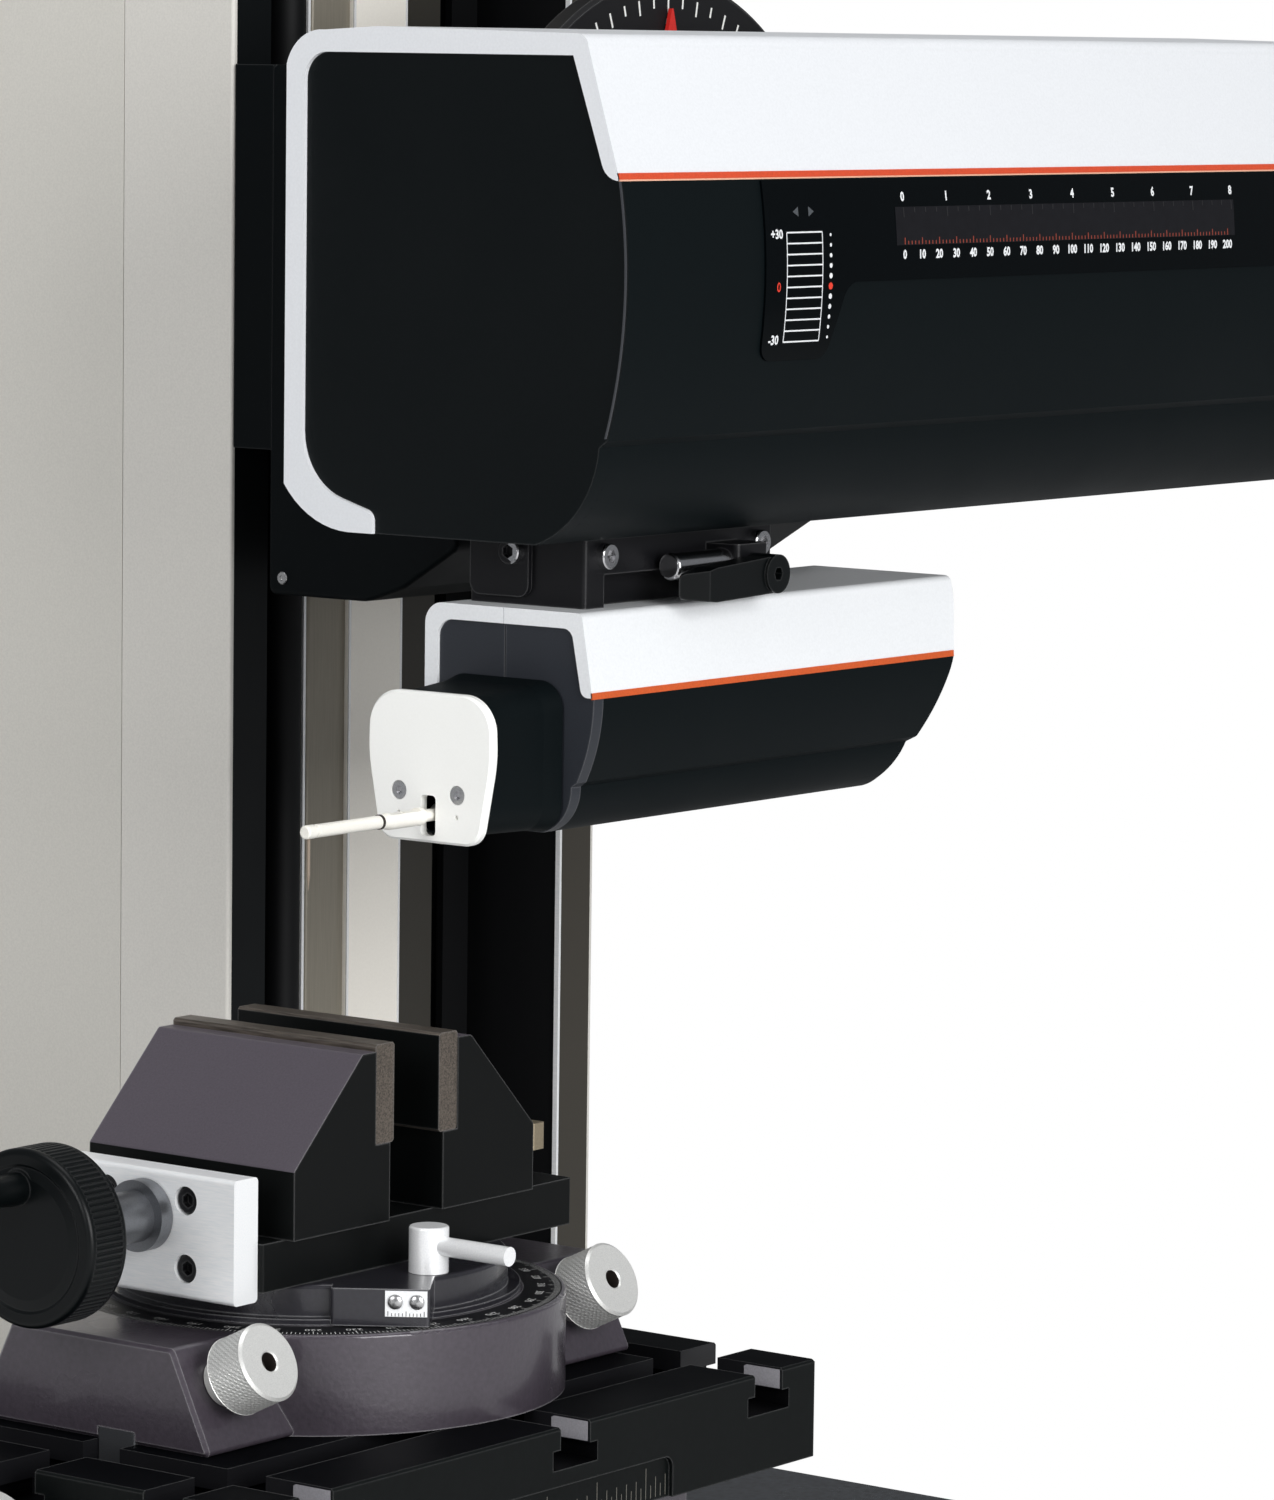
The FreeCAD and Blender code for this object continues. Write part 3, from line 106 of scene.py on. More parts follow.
class Finishes:
    """The finishes the sub-assemblies choose from."""

    GRANITE = Finish("granite", "granite", (34, 36, 39), 0.28, grain_mm=2.2, mottle=0.5, coat=0.06, shine=0.2,
                     pattern=Pattern.CELLS)
    COLUMN = Finish("column_light", "column_light", (216, 213, 205), 0.5, grain_mm=0.8, mottle=0.02)
    SIDE = Finish("column_side", "column_light", (220, 217, 210), 0.5, grain_mm=0.8, mottle=0.02)
    RECESS = Finish("column_dark", "column_dark", (5, 6, 8), 0.7, grain_mm=0.7, shine=0.2)
    RAIL = Finish("rail_blackened", "steel", (9, 10, 12), 0.6, 0.2, shine=0.25)
    SLATE = Finish("slate_trim", "trim_alu", (6, 10, 12), 0.5, 0.2, shine=0.2)
    BEIGE = Finish("beige_trim", "trim_alu", (62, 58, 50), 0.42, 0.25)
    # Painted shade: the dark strip to the right of the beam's white cover
    BRONZE = Finish("beam_bronze", "alu_beam", (50, 47, 40), 0.45, 0.2)
    BEAM = Finish("beam_alu", "alu_beam", (140, 134, 121), 0.42, 0.25, grain_mm=0.6, mottle=0.03,
                  lay=(1.0, 1.0, 0.04))
    WHITE = Finish("white_shell", "white_shell", (227, 229, 232), 0.4, grain_mm=0.9, mottle=0.012, bump=0.05)
    BRIGHT = Finish("white_detector", "white_shell", (240, 242, 244), 0.4, grain_mm=0.9, mottle=0.012,
                    bump=0.05)
    WARM = Finish("warm_white", "white_shell", (253, 248, 238), 0.42, grain_mm=0.9, mottle=0.01, bump=0.05)
    # Painted highlight: light lines on the corners at the drive unit's ends
    SEAM = Finish("seam_grey", "black_shell", (66, 68, 72), 0.4, 0.3, grain_mm=0.4)
    HOUSING = Finish("housing_black", "black_shell", (11, 17, 19), 0.5, bump=0.12, shine=0.06)
    BLACK = Finish("black_shell", "black_shell", (3, 8, 10), 0.44, bump=0.14, edge=0.1, shine=0.17)
    PROBE_END = Finish("detector_end", "black_shell", (44, 47, 53), 0.4, edge=0.2, shine=0.3)
    SLIDER = Finish("slider_black", "black_shell", (3, 7, 9), 0.55, grain_mm=0.6, bump=0.14, edge=0.07,
                    shine=0.09)
    DISC = Finish("disc_grey", "disc_grey", (17, 17, 19), 0.5, edge=0.25, shine=0.22)
    GLOSS = Finish("gloss_black", "gloss_black", (3, 6, 8), 0.14, grain_mm=3.0, bump=0.0, shine=0.08)
    WINDOW = Finish("window_grey", "gloss_black", (26, 26, 29), 0.16, grain_mm=3.0, bump=0.0, shine=0.1)
    RED = Finish("red_pointer", "red_pointer", (196, 32, 24), 0.4, grain_mm=0.6)
    ORANGE = Finish("orange_line", "white_shell", (206, 74, 40), 0.42, grain_mm=0.6)
    ORANGE_WARM = Finish("orange_detector", "white_shell", (206, 88, 36), 0.42, grain_mm=0.6)
    PALE_LINE = Finish("pale_line", "white_shell", (232, 178, 150), 0.42, grain_mm=0.6)
    STEEL = Finish("ground_steel", "steel", (196, 196, 196), 0.26, 1.0, grain_mm=0.35, edge=0.2,
                   lay=(0.06, 1.0, 1.0))
    PLATE = Finish("jaw_plate_steel", "steel", (104, 96, 88), 0.36, 0.7, mottle=0.25, edge=0.3,
                   lay=(1.0, 0.05, 1.0))
    BLACKED = Finish("black_oxide", "steel_dark", (17, 17, 20), 0.36, 0.2, grain_mm=0.4, edge=0.2, shine=0.35)
    ALU = Finish("alu_plate", "alu", (250, 253, 255), 0.3, 0.2, grain_mm=0.4, mottle=0.03,
                 lay=(1.0, 0.08, 1.0))
    SATIN = Finish("satin_chrome", "steel", (252, 253, 255), 0.2, 0.25, grain_mm=0.4)
    SPINDLE = Finish("turned_steel", "steel", (128, 130, 134), 0.34, 0.9, grain_mm=0.4)
    NEEDLE = Finish("needle_steel", "steel", (138, 124, 110), 0.35, 0.3, grain_mm=0.3)
    CREAM = Finish("cream_plate", "cream_plate", (254, 254, 250), 0.38, grain_mm=0.7, mottle=0.005, bump=0.04)
    ARM = Finish("arm_light", "arm_light", (248, 245, 236), 0.35, 0.1, grain_mm=0.3, mottle=0.02)
    CAST = Finish("cast_grey", "cast_grey", (68, 62, 70), 0.28, 0.1, grain_mm=1.6, mottle=0.06, bump=0.42,
                  edge=0.6, coat=0.45)
    TURN = Finish("cast_turntable", "cast_grey", (40, 39, 45), 0.26, 0.1, grain_mm=1.4, mottle=0.06,
                  bump=0.25, edge=0.6, coat=0.45)
    # The jaw grey is lightened to the sloped faces' reflection (painted reflection); the next finish is near
    # black: painted shade on jaw flanks, undersides and the plates' inner faces, and the dark slide bar
    JAW = Finish("jaw_grey", "cast_grey", (84, 78, 86), 0.42, 0.1, grain_mm=0.6, edge=0.5)
    JAW_DARK = Finish("jaw_flank", "cast_grey", (6, 8, 8), 0.44, grain_mm=0.6, edge=0.2, shine=0.14)
    LUG = Finish("lug_brass_tone", "cast_grey", (150, 138, 116), 0.4, 0.6, grain_mm=0.4)
    TABLE = Finish("table_top_steel", "table_steel", (11, 14, 14), 0.42, 0.1, grain_mm=2.0, mottle=0.1,
                   bump=0.05, edge=0.14, shine=0.1, pattern=Pattern.CELLS)
    # Painted shade: darker copy of the table steel for its top faces
    BED = Finish("table_bed", "table_steel", (5, 6, 8), 0.5, grain_mm=2.0, mottle=0.2, bump=0.05, edge=0.35,
                 shine=0.02, pattern=Pattern.CELLS)
    # Painted shade in the slot undercuts
    SLOT_DARK = Finish("slot_undercut", "table_steel", (7, 7, 9), 0.5, shine=0.08)
    SLOT = Finish("slot_wall_steel", "table_steel", (26, 26, 29), 0.34, 0.3, lay=(0.06, 1.0, 1.0))
    # Painted highlight: bright patches on the slot neck walls at the front
    MOUTH = Finish("slot_mouth_steel", "table_steel", (176, 174, 180), 0.36, 0.4)
    CHROME = Finish("chrome_ring", "steel", (205, 205, 207), 0.18, 1.0)
    HOLE = Finish("blind_hole", "knurl", (38, 30, 26), 0.6, grain_mm=0.4)
    # Dark joint colour, and painted shade in the knobs' holes
    RING = Finish("ring_black", "ring_black", (14, 14, 17), 0.4, grain_mm=0.4, shine=0.35)
    KNURL = Finish("knurled_chrome", "knurl", (226, 226, 223), 0.3, 0.4, grain_mm=0.3)
    PLASTIC = Finish("black_plastic", "black_plastic", (3, 6, 7), 0.34, bump=0.04, edge=0.08, shine=0.22)
    PRINT_WHITE = Finish("print_white", "disc_grey", (228, 228, 224), 0.5, grain_mm=0.3)
    PRINT_RING = Finish("print_ring", "ring_black", (224, 224, 222), 0.5, grain_mm=0.3)
    PRINT_GREY = Finish("print_grey", "gloss_black", (232, 234, 236), 0.4, grain_mm=0.3)
    PRINT_DIM = Finish("print_dim", "gloss_black", (74, 78, 82), 0.4, grain_mm=0.3)
    PRINT_RUST = Finish("print_rust", "gloss_black", (150, 62, 44), 0.4, grain_mm=0.3)
    PRINT_RED = Finish("print_red", "gloss_black", (226, 60, 40), 0.4, grain_mm=0.3)
    PRINT_TABLE = Finish("print_table", "table_steel", (104, 102, 94), 0.5, grain_mm=0.3)
    PRINT_DARK = Finish("print_dark", "table_steel", (30, 30, 32), 0.5, grain_mm=0.3)


def linear(colour: Colour) -> Tuple[float, float, float, float]:
    """Turn a screen colour into scene-linear values.

    Args:
        colour: Red, green and blue from 0 to 255.

    Returns:
        Linear red, green, blue and an alpha of 1.
    """
    def one(c: float) -> float:
        c = min(max(c / 255.0, 0.0), 1.0)
        return c / 12.92 if c <= 0.04045 else ((c + 0.055) / 1.055) ** 2.4

    return (one(colour[0]), one(colour[1]), one(colour[2]), 1.0)


def linked(name: str, data: Any) -> bpy.types.Object:
    """Make an object and link it to the scene.

    Args:
        name: Object name.
        data: Its mesh, curve, lamp or camera data.

    Returns:
        The new object.
    """
    obj = bpy.data.objects.new(name, data)
    bpy.context.scene.collection.objects.link(obj)
    return obj


@dataclass
class PaintShop:
    """Builds each finish once as a procedural node material.

    The Mix node names its sockets alike for each kind of value, so the ones for colour are picked by number.
    """

    made: Dict[str, bpy.types.Material] = field(default_factory=dict)
    fine_detail: float = 3.0
    broad_scale: float = 14.0
    broad_detail: float = 4.0
    ramp_ends: Pair = (0.3, 0.7)
    rough_spread: Pair = (0.8, 1.25)
    rough_least: float = 0.03
    bump_depth: float = 0.2 * MM
    coat_roughness: float = 0.12
    cell_size: float = 1.4
    cell_share: float = 0.55
    noise_share: float = 0.6
    edge_samples: int = 4
    edge_radius: float = 0.9 * MM
    edge_facing: Pair = (0.97, 0.80)
    edge_tone: float = 225.0
    edge_share: float = 0.75
    mix_factor: int = 0
    mix_first: int = 6
    mix_second: int = 7
    mix_result: int = 2

    def material(self, finish: Finish) -> bpy.types.Material:
        """Give the material of a finish.

        Args:
            finish: The finish asked for.

        Returns:
            The node material, built on first use.
        """
        if finish.name not in self.made:
            self.made[finish.name] = self._build(finish)
        return self.made[finish.name]

    def _build(self, f: Finish) -> bpy.types.Material:
        """Build the node tree of a finish.

        Args:
            f: The finish.

        Returns:
            A new material.
        """
        mat = bpy.data.materials.new(f.name)
        mat.use_nodes = True
        nodes, links = mat.node_tree.nodes, mat.node_tree.links
        shader = nodes["Principled BSDF"]
        coord = nodes.new("ShaderNodeTexCoord")
        mapping = nodes.new("ShaderNodeMapping")
        mapping.inputs["Scale"].default_value = f.lay
        links.new(coord.outputs["Object"], mapping.inputs["Vector"])
        fine = nodes.new("ShaderNodeTexNoise")
        fine.inputs["Scale"].default_value = 1.0 / (f.grain_mm * MM)
        fine.inputs["Detail"].default_value = self.fine_detail
        links.new(mapping.outputs["Vector"], fine.inputs["Vector"])
        broad = nodes.new("ShaderNodeTexNoise")
        broad.inputs["Scale"].default_value = self.broad_scale
        broad.inputs["Detail"].default_value = self.broad_detail
        links.new(coord.outputs["Object"], broad.inputs["Vector"])
        pattern = self._pattern(f, nodes, links, mapping, fine)
        ramp = nodes.new("ShaderNodeValToRGB")
        for stop, end, way in zip(ramp.color_ramp.elements, self.ramp_ends, (-1.0, 1.0)):
            stop.position = end
            stop.color = linear(tuple(c * (1.0 + way * f.mottle) for c in f.colour))
        links.new(pattern, ramp.inputs["Fac"])
        colour = ramp.outputs["Color"]
        # Edges are lightened: partly wear, partly painted edge highlight
        if f.edge > 0:
            colour = self._edge(f, nodes, links, colour)
        links.new(colour, shader.inputs["Base Color"])
        rough = nodes.new("ShaderNodeMapRange")
        rough.inputs["To Min"].default_value = max(self.rough_least, f.roughness * self.rough_spread[0])
        rough.inputs["To Max"].default_value = min(1.0, f.roughness * self.rough_spread[1])
        links.new(broad.outputs["Fac"], rough.inputs["Value"])
        links.new(rough.outputs["Result"], shader.inputs["Roughness"])
        bump = nodes.new("ShaderNodeBump")
        bump.inputs["Strength"].default_value = f.bump
        bump.inputs["Distance"].default_value = self.bump_depth
        links.new(fine.outputs["Fac"], bump.inputs["Height"])
        links.new(bump.outputs["Normal"], shader.inputs["Normal"])
        shader.inputs["Metallic"].default_value = f.metallic
        shader.inputs["Coat Weight"].default_value = f.coat
        shader.inputs["Coat Roughness"].default_value = self.coat_roughness
        shader.inputs["Specular IOR Level"].default_value = f.shine
        return mat

    def _pattern(self, f: Finish, nodes: Any, links: Any, mapping: Any, fine: Any) -> Any:
        """Build the colour pattern of a finish.

        Args:
            f: The finish.
            nodes: Node collection of the tree.
            links: Link collection of the tree.
            mapping: Mapping node with the lay of the grain.
            fine: Fine noise node.

        Returns:
            The socket that drives the colour ramp.
        """
        if f.pattern is Pattern.CELLS:
            cells = nodes.new("ShaderNodeTexVoronoi")
            cells.inputs["Scale"].default_value = 1.0 / (f.grain_mm * self.cell_size * MM)
            links.new(mapping.outputs["Vector"], cells.inputs["Vector"])
            mix = nodes.new("ShaderNodeMath")
            mix.operation = "MULTIPLY_ADD"
            mix.inputs[1].default_value = self.cell_share
            mix.use_clamp = True
            links.new(cells.outputs["Distance"], mix.inputs[0])
            part = nodes.new("ShaderNodeMath")
            part.operation = "MULTIPLY"
            part.inputs[1].default_value = self.noise_share
            links.new(fine.outputs["Fac"], part.inputs[0])
            links.new(part.outputs["Value"], mix.inputs[2])
            return mix.outputs["Value"]
        return fine.outputs["Fac"]

    def _edge(self, f: Finish, nodes: Any, links: Any, colour: Any) -> Any:
        """Lighten the colour on edges: partly wear, partly a painted edge highlight.

        Args:
            f: The finish.
            nodes: Node collection of the tree.
            links: Link collection of the tree.
            colour: Socket with the plain colour.

        Returns:
            The socket with edges lightened.
        """
        bevel = nodes.new("ShaderNodeBevel")
        bevel.samples = self.edge_samples
        bevel.inputs["Radius"].default_value = self.edge_radius
        geometry = nodes.new("ShaderNodeNewGeometry")
        dot = nodes.new("ShaderNodeVectorMath")
        dot.operation = "DOT_PRODUCT"
        links.new(bevel.outputs["Normal"], dot.inputs[0])
        links.new(geometry.outputs["True Normal"], dot.inputs[1])
        mask = nodes.new("ShaderNodeMapRange")
        mask.inputs["From Min"].default_value = self.edge_facing[0]
        mask.inputs["From Max"].default_value = self.edge_facing[1]
        mask.inputs["To Max"].default_value = f.edge
        links.new(dot.outputs["Value"], mask.inputs["Value"])
        mix = nodes.new("ShaderNodeMix")
        mix.data_type = "RGBA"
        light = tuple(c + (self.edge_tone - c) * self.edge_share for c in f.colour)
        mix.inputs[self.mix_second].default_value = linear(light)
        links.new(mask.outputs["Result"], mix.inputs[self.mix_factor])
        links.new(colour, mix.inputs[self.mix_first])
        return mix.outputs[self.mix_result]


@dataclass
class Workshop:
    """Makes mesh pieces, and paints CAD nodes whole or face by face."""

    frame: Dict[str, Any]
    shop: PaintShop = field(default_factory=PaintShop)
    sharp_angle: float = 35.0

    def paint(self, finish: Finish, *nodes: str) -> None:
        """Give CAD nodes a finish.

        Args:
            finish: The finish.
            nodes: Names of CAD nodes.
        """
        for name in nodes:
            obj = self.frame["nodes"][name]
            obj.data.materials.clear()
            obj.data.materials.append(self.shop.material(finish))
            LOG.info("painted %s with %s", name, finish.name)

    def accent(self, node: str, finish: Finish, chosen: Callable[[Vector, Vector], bool]) -> None:
        """Give some faces of a CAD node a second finish.

        Args:
            node: Name of the CAD node.
            finish: The second finish.
            chosen: Says from a face's centre (mm) and normal whether it is changed.
        """
        mesh = self.frame["nodes"][node].data
        mesh.materials.append(self.shop.material(finish))
        index = len(mesh.materials) - 1
        count = 0
        for face in mesh.polygons:
            if chosen(face.center * PER_METRE, face.normal):
                face.material_index = index
                count += 1
        LOG.info("accent on %s: %d faces", node, count)

    def piece(self, name: str, verts: Sequence[Sequence[float]], faces: Sequence[Sequence[int]],
              finish: Finish, body: str, smooth: bool = False) -> bpy.types.Object:
        """Make a mesh piece that rides on a body.

        Args:
            name: Object name.
            verts: Points in millimetres in the row frame.
            faces: Faces as point numbers.
            finish: The finish.
            body: CAD body it moves with.
            smooth: Whether its faces are shaded smooth.

        Returns:
            The new object.
        """
        mesh = bpy.data.meshes.new(name)
        mesh.from_pydata([Vector(v) * MM for v in verts], [], faces)
        mesh.validate()
        if smooth:
            mesh.shade_smooth()
            mesh.set_sharp_from_angle(angle=math.radians(self.sharp_angle))
        mesh.materials.append(self.shop.material(finish))
        obj = linked(name, mesh)
        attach(obj, body)
        LOG.info("made %s: %d faces on %s", name, len(faces), body)
        return obj


@dataclass
class Marking:
    """Flat printed or engraved marks laid on a surface, gathered into one mesh."""

    place: Place
    verts: List[Vector] = field(default_factory=list)
    faces: Faces = field(default_factory=list)
    bar_step: float = 2.0
    dot_sides: int = 16
    font_share: float = 1.38
    font_steps: int = 2

    def polygon(self, points: Sequence[Pair]) -> None:
        """Add one flat shape.

        Args:
            points: Outline in surface coordinates, millimetres.
        """
        start = len(self.verts)
        self.verts += [self.place(u, v) for u, v in points]
        self.faces.append(list(range(start, start + len(points))))

    def bar(self, u0: float, u1: float, v0: float, v1: float) -> None:
        """Add an upright bar, divided so that it follows a curved surface.

        Args:
            u0: Left edge.
            u1: Right edge.
            v0: Lower edge.
            v1: Upper edge.
        """
        steps = max(1, int(abs(v1 - v0) / self.bar_step))
        for k in range(steps):
            a = v0 + (v1 - v0) * k / steps
            b = v0 + (v1 - v0) * (k + 1) / steps
            self.polygon([(u0, a), (u1, a), (u1, b), (u0, b)])

    def dot(self, u: float, v: float, r: float) -> None:
        """Add a round dot.

        Args:
            u: Centre along the surface.
            v: Centre up the surface.
            r: Radius.
        """
        turns = [math.tau * k / self.dot_sides for k in range(self.dot_sides)]
        self.polygon([(u + r * math.cos(a), v + r * math.sin(a)) for a in turns])

    def text(self, words: str, u: float, v: float, height: float, bold: float = 0.0) -> None:
        """Add a number, centred.

        Args:
            words: The characters.
            u: Centre along the surface.
            v: Centre up the surface.
            height: Height of the figures.
            bold: How far the strokes are thickened.
        """
        curve = bpy.data.curves.new("figure", "FONT")
        curve.offset = bold
        curve.body = words
        curve.size = height * self.font_share
        curve.align_x = "CENTER"
        curve.align_y = "CENTER"
        curve.resolution_u = self.font_steps
        obj = linked("figure", curve)
        shape = obj.evaluated_get(bpy.context.evaluated_depsgraph_get()).to_mesh()
        start = len(self.verts)
        self.verts += [self.place(u + p.co.x, v + p.co.y) for p in shape.vertices]
        self.faces += [[start + i for i in f.vertices] for f in shape.polygons]
        obj.to_mesh_clear()
        bpy.data.objects.remove(obj)
        bpy.data.curves.remove(curve)

    def make(self, work: Workshop, name: str, finish: Finish, body: str) -> None:
        """Turn the gathered marks into an object.

        Args:
            work: The workshop.
            name: Object name.
            finish: The finish.
            body: CAD body it moves with.
        """
        work.piece(name, self.verts, self.faces, finish, body)


def circle_through(a: Pair, b: Pair, c: Pair) -> Tuple[float, float, float]:
    """Find the circle through three points.

    Args:
        a: First point.
        b: Second point.
        c: Third point.

    Returns:
        Centre and radius.
    """
    d = 2.0 * (a[0] * (b[1] - c[1]) + b[0] * (c[1] - a[1]) + c[0] * (a[1] - b[1]))
    sa, sb, sc = a[0] ** 2 + a[1] ** 2, b[0] ** 2 + b[1] ** 2, c[0] ** 2 + c[1] ** 2
    x = (sa * (b[1] - c[1]) + sb * (c[1] - a[1]) + sc * (a[1] - b[1])) / d
    y = (sa * (c[0] - b[0]) + sb * (a[0] - c[0]) + sc * (b[0] - a[0])) / d
    return x, y, math.hypot(a[0] - x, a[1] - y)


@dataclass(frozen=True)
class FrontCurve:
    """Front outline of a shell: a bulge under its coloured line and a slope above it (mm)."""

    line: Pair
    middle: Pair
    seam: Pair
    shoulder: Pair

    def y(self, z: float) -> float:
        """Give the depth of the front at a height.

        Args:
            z: Height in the drive frame.

        Returns:
            Depth in the drive frame.
        """
        if z >= self.line[1]:
            share = (z - self.line[1]) / (self.shoulder[1] - self.line[1])
            return self.line[0] + (self.shoulder[0] - self.line[0]) * share
        cy, cz, r = circle_through(self.line, self.middle, self.seam)
        return cy - math.sqrt(max(r * r - (z - cz) ** 2, 0.0))


DRIVE_FRONT = FrontCurve((2.6, 24.8), (-0.1, -16.0), (7.0, -57.3), (15.1, 64.8))
PROBE_FRONT = FrontCurve((31.9, -141.0), (33.6, -156.0), (38.4, -169.2), (36.1, -116.8))

# Height of one step of a strip, and how far it reaches behind the surface (mm)
STRIP_STEP = 3.0
STRIP_ROOT = 0.4


def on_front(curve: FrontCurve, proud: float) -> Place:
    """Make the placing rule for marks on a front curve.

    Args:
        curve: The front curve.
        proud: How far the marks stand in front of it.

    Returns:
        A rule from length along X and height to a point.
    """
    return lambda u, v: Vector((u + DRIVE_ZERO[0], curve.y(v) - proud + DRIVE_ZERO[1], v + DRIVE_ZERO[2]))


def strip(work: Workshop, name: str, curve: FrontCurve, x: Pair, z: Pair, proud: float, finish: Finish,
          body: str) -> None:
    """Make a raised strip along a front curve.

    Args:
        work: The workshop.
        name: Object name.
        curve: The front curve.
        x: Left and right end in the drive frame.
        z: Lower and upper edge in the drive frame.
        proud: How far it stands in front.
        finish: The finish.
        body: CAD body it moves with.
    """
    steps = max(1, int((z[1] - z[0]) / STRIP_STEP))
    ring: List[Pair] = []
    for k in range(steps + 1):
        h = z[0] + (z[1] - z[0]) * k / steps
        ring.append((curve.y(h) - proud, h))
    ring += [(y + proud + STRIP_ROOT, h) for y, h in reversed(ring)]
    n = len(ring)
    verts = [(px + DRIVE_ZERO[0], y + DRIVE_ZERO[1], h + DRIVE_ZERO[2]) for px in x for y, h in ring]
    faces = [[k, (k + 1) % n, n + (k + 1) % n, n + k] for k in range(n)]
    faces += [list(range(n))[::-1], list(range(n, 2 * n))]
    work.piece(name, verts, faces, finish, body)


@dataclass(frozen=True)
class Upright:
    """A thin upright strip in the column's recess, laid as a painted highlight along an edge or as painted
    shade beside the cover, with its left edge from the column's middle (mm).
    """

    name: str
    left: float
    width: float
    front: float
    depth: float
    finish: Finish


@dataclass(frozen=True)
class Stand:
    """Granite slab and column."""

    work: Workshop
    centre_x: float = 180.0
    recess_z: Pair = (118.4, 934.6)
    # Four bright strips are painted highlights on the edges of the trim, the beam and the cover; the dark
    # strip right of the cover is painted shade
    uprights: Tuple[Upright, ...] = (
        Upright("trim_edge", 84.2, 1.2, 83.9, 2.0, Finishes.ALU),
        Upright("beam_edge_left", -37.3, 1.3, 107.2, 1.5, Finishes.ALU),
        Upright("cover_edge_left", -15.1, 1.1, 104.4, 0.5, Finishes.SATIN),
        Upright("cover_edge_right", 14.0, 1.1, 104.4, 0.5, Finishes.SATIN),
        Upright("beam_strip_right", 15.4, 20.4, 106.1, 0.6, Finishes.BRONZE),
    )

    def build(self) -> None:
        """Paint the slab, the column and what stands in its recess, including thin strips of painted
        highlight and painted shade.
        """
        w = self.work
        w.paint(Finishes.GRANITE, "granite_base")
        w.paint(Finishes.RECESS, "column_frame")
        w.paint(Finishes.SIDE, "column_side_covers")
        w.paint(Finishes.COLUMN, "column_rear_cover", "column_cap")
        w.paint(Finishes.BEIGE, "column_trims")
        w.accent("column_trims", Finishes.SLATE, lambda c, n: c.x < self.centre_x)
        w.paint(Finishes.BEAM, "guide_beam")
        w.paint(Finishes.WARM, "beam_cover")
        w.paint(Finishes.RAIL, "guide_rails", "column_screw")
        for one in self.uprights:
            self.upright(one)

    def upright(self, one: Upright) -> None:
        """Make a thin upright strip of painted highlight or painted shade in the column's recess.

        Args:
            one: The strip.
        """
        x = self.centre_x + one.left
        corners = ((0, 0), (one.width, 0), (one.width, one.depth), (0, one.depth))
        verts = [(x + dx, one.front + dy, z) for z in self.recess_z for dx, dy in corners]
        faces = [[0, 1, 5, 4], [1, 2, 6, 5], [2, 3, 7, 6], [3, 0, 4, 7], [3, 2, 1, 0], [4, 5, 6, 7]]
        self.work.piece(one.name, verts, faces, one.finish, "stand")


@dataclass(frozen=True)
class Slider:
    """Slider, its runners and the protractor."""

    work: Workshop
    tick_radius: float = 96.6
    tick_half: float = 0.45
    long_tick: float = 4.0
    short_tick: float = 2.4
    tick_over: float = 1.2
    tick_step: int = 5
    long_step: int = 10
    figure_step: int = 20
    figure_inset: float = 8.0
    figure_height: float = 4.6
    print_proud: float = 0.06
    screw_at: Point = (75.0, 60.0, 443.0)
    screw_profile: Tuple[Pair, ...] = ((0.0, 2.2), (0.5, 2.2), (0.8, 1.9), (0.8, 1.0), (0.3, 0.9), (0.3, 0.0))

    def build(self) -> None:
        """Paint the slider and print the protractor."""
        w = self.work
        w.paint(Finishes.SLIDER, "slider_body")
        w.paint(Finishes.BLACKED, "runner_blocks", "screw_nut")
        w.paint(Finishes.DISC, "tilt_disc")
        self.protractor()
        self.screw()

    def protractor(self) -> None:
        """Print the ticks and figures of the protractor."""
        marks = Marking(self._radial(0.0))
        outer = self.tick_radius + self.tick_over
        for angle in range(-180, 180, self.tick_step):
            marks.place = self._radial(math.radians(angle))
            length = self.long_tick if angle % self.long_step == 0 else self.short_tick
            marks.bar(-self.tick_half, self.tick_half, self.tick_radius - length, outer)
            if angle % self.figure_step == 0 and angle > -180:
                marks.text(str(abs(angle)), 0.0, self.tick_radius - self.figure_inset, self.figure_height)
        marks.make(self.work, "protractor_marks", Finishes.PRINT_WHITE, "slider")

    def _radial(self, angle: float) -> Place:
        """Make the placing rule for one direction on the disc.

        Args:
            angle: Direction from the top, clockwise, in radians.

        Returns:
            A rule from sideways offset and radius to a point.
        """
        s, c = math.sin(angle), math.cos(angle)
        x, y, z = TILT
        return lambda u, v: Vector((x + v * s + u * c, y - self.print_proud, z + v * c - u * s))

    def screw(self) -> None:
        """Make the small bright screw on the slider's left side."""
        lathe(self.work, "slider_screw", Finishes.STEEL, "slider", self.screw_at, (-1, 0, 0),
              self.screw_profile)


def turned(origin: Sequence[float], axis: Point, profile: Sequence[Pair], sides: int,
           radius_at: Callable[[float, float, float], float]) -> Tuple[List[Vector], Faces]:
    """Turn a profile round an axis.

    Args:
        origin: Start point in the row frame (mm).
        axis: Direction of the axis.
        profile: Pairs of distance along the axis and radius.
        sides: Number of sides.
        radius_at: Gives the radius from the distance, the profile's radius and the angle.

    Returns:
        Points and faces.
    """
    turn = Vector((0, 0, 1)).rotation_difference(Vector(axis)).to_matrix()
    verts: List[Vector] = []
    faces: Faces = []
    for h, profile_radius in profile:
        for k in range(sides):
            a = math.tau * k / sides
            r = radius_at(h, profile_radius, a)
            verts.append(turn @ Vector((r * math.cos(a), r * math.sin(a), h)) + Vector(origin))
    for j in range(len(profile) - 1):
        for k in range(sides):
            n = (k + 1) % sides
            faces.append([j * sides + k, j * sides + n, (j + 1) * sides + n, (j + 1) * sides + k])
    return verts, faces


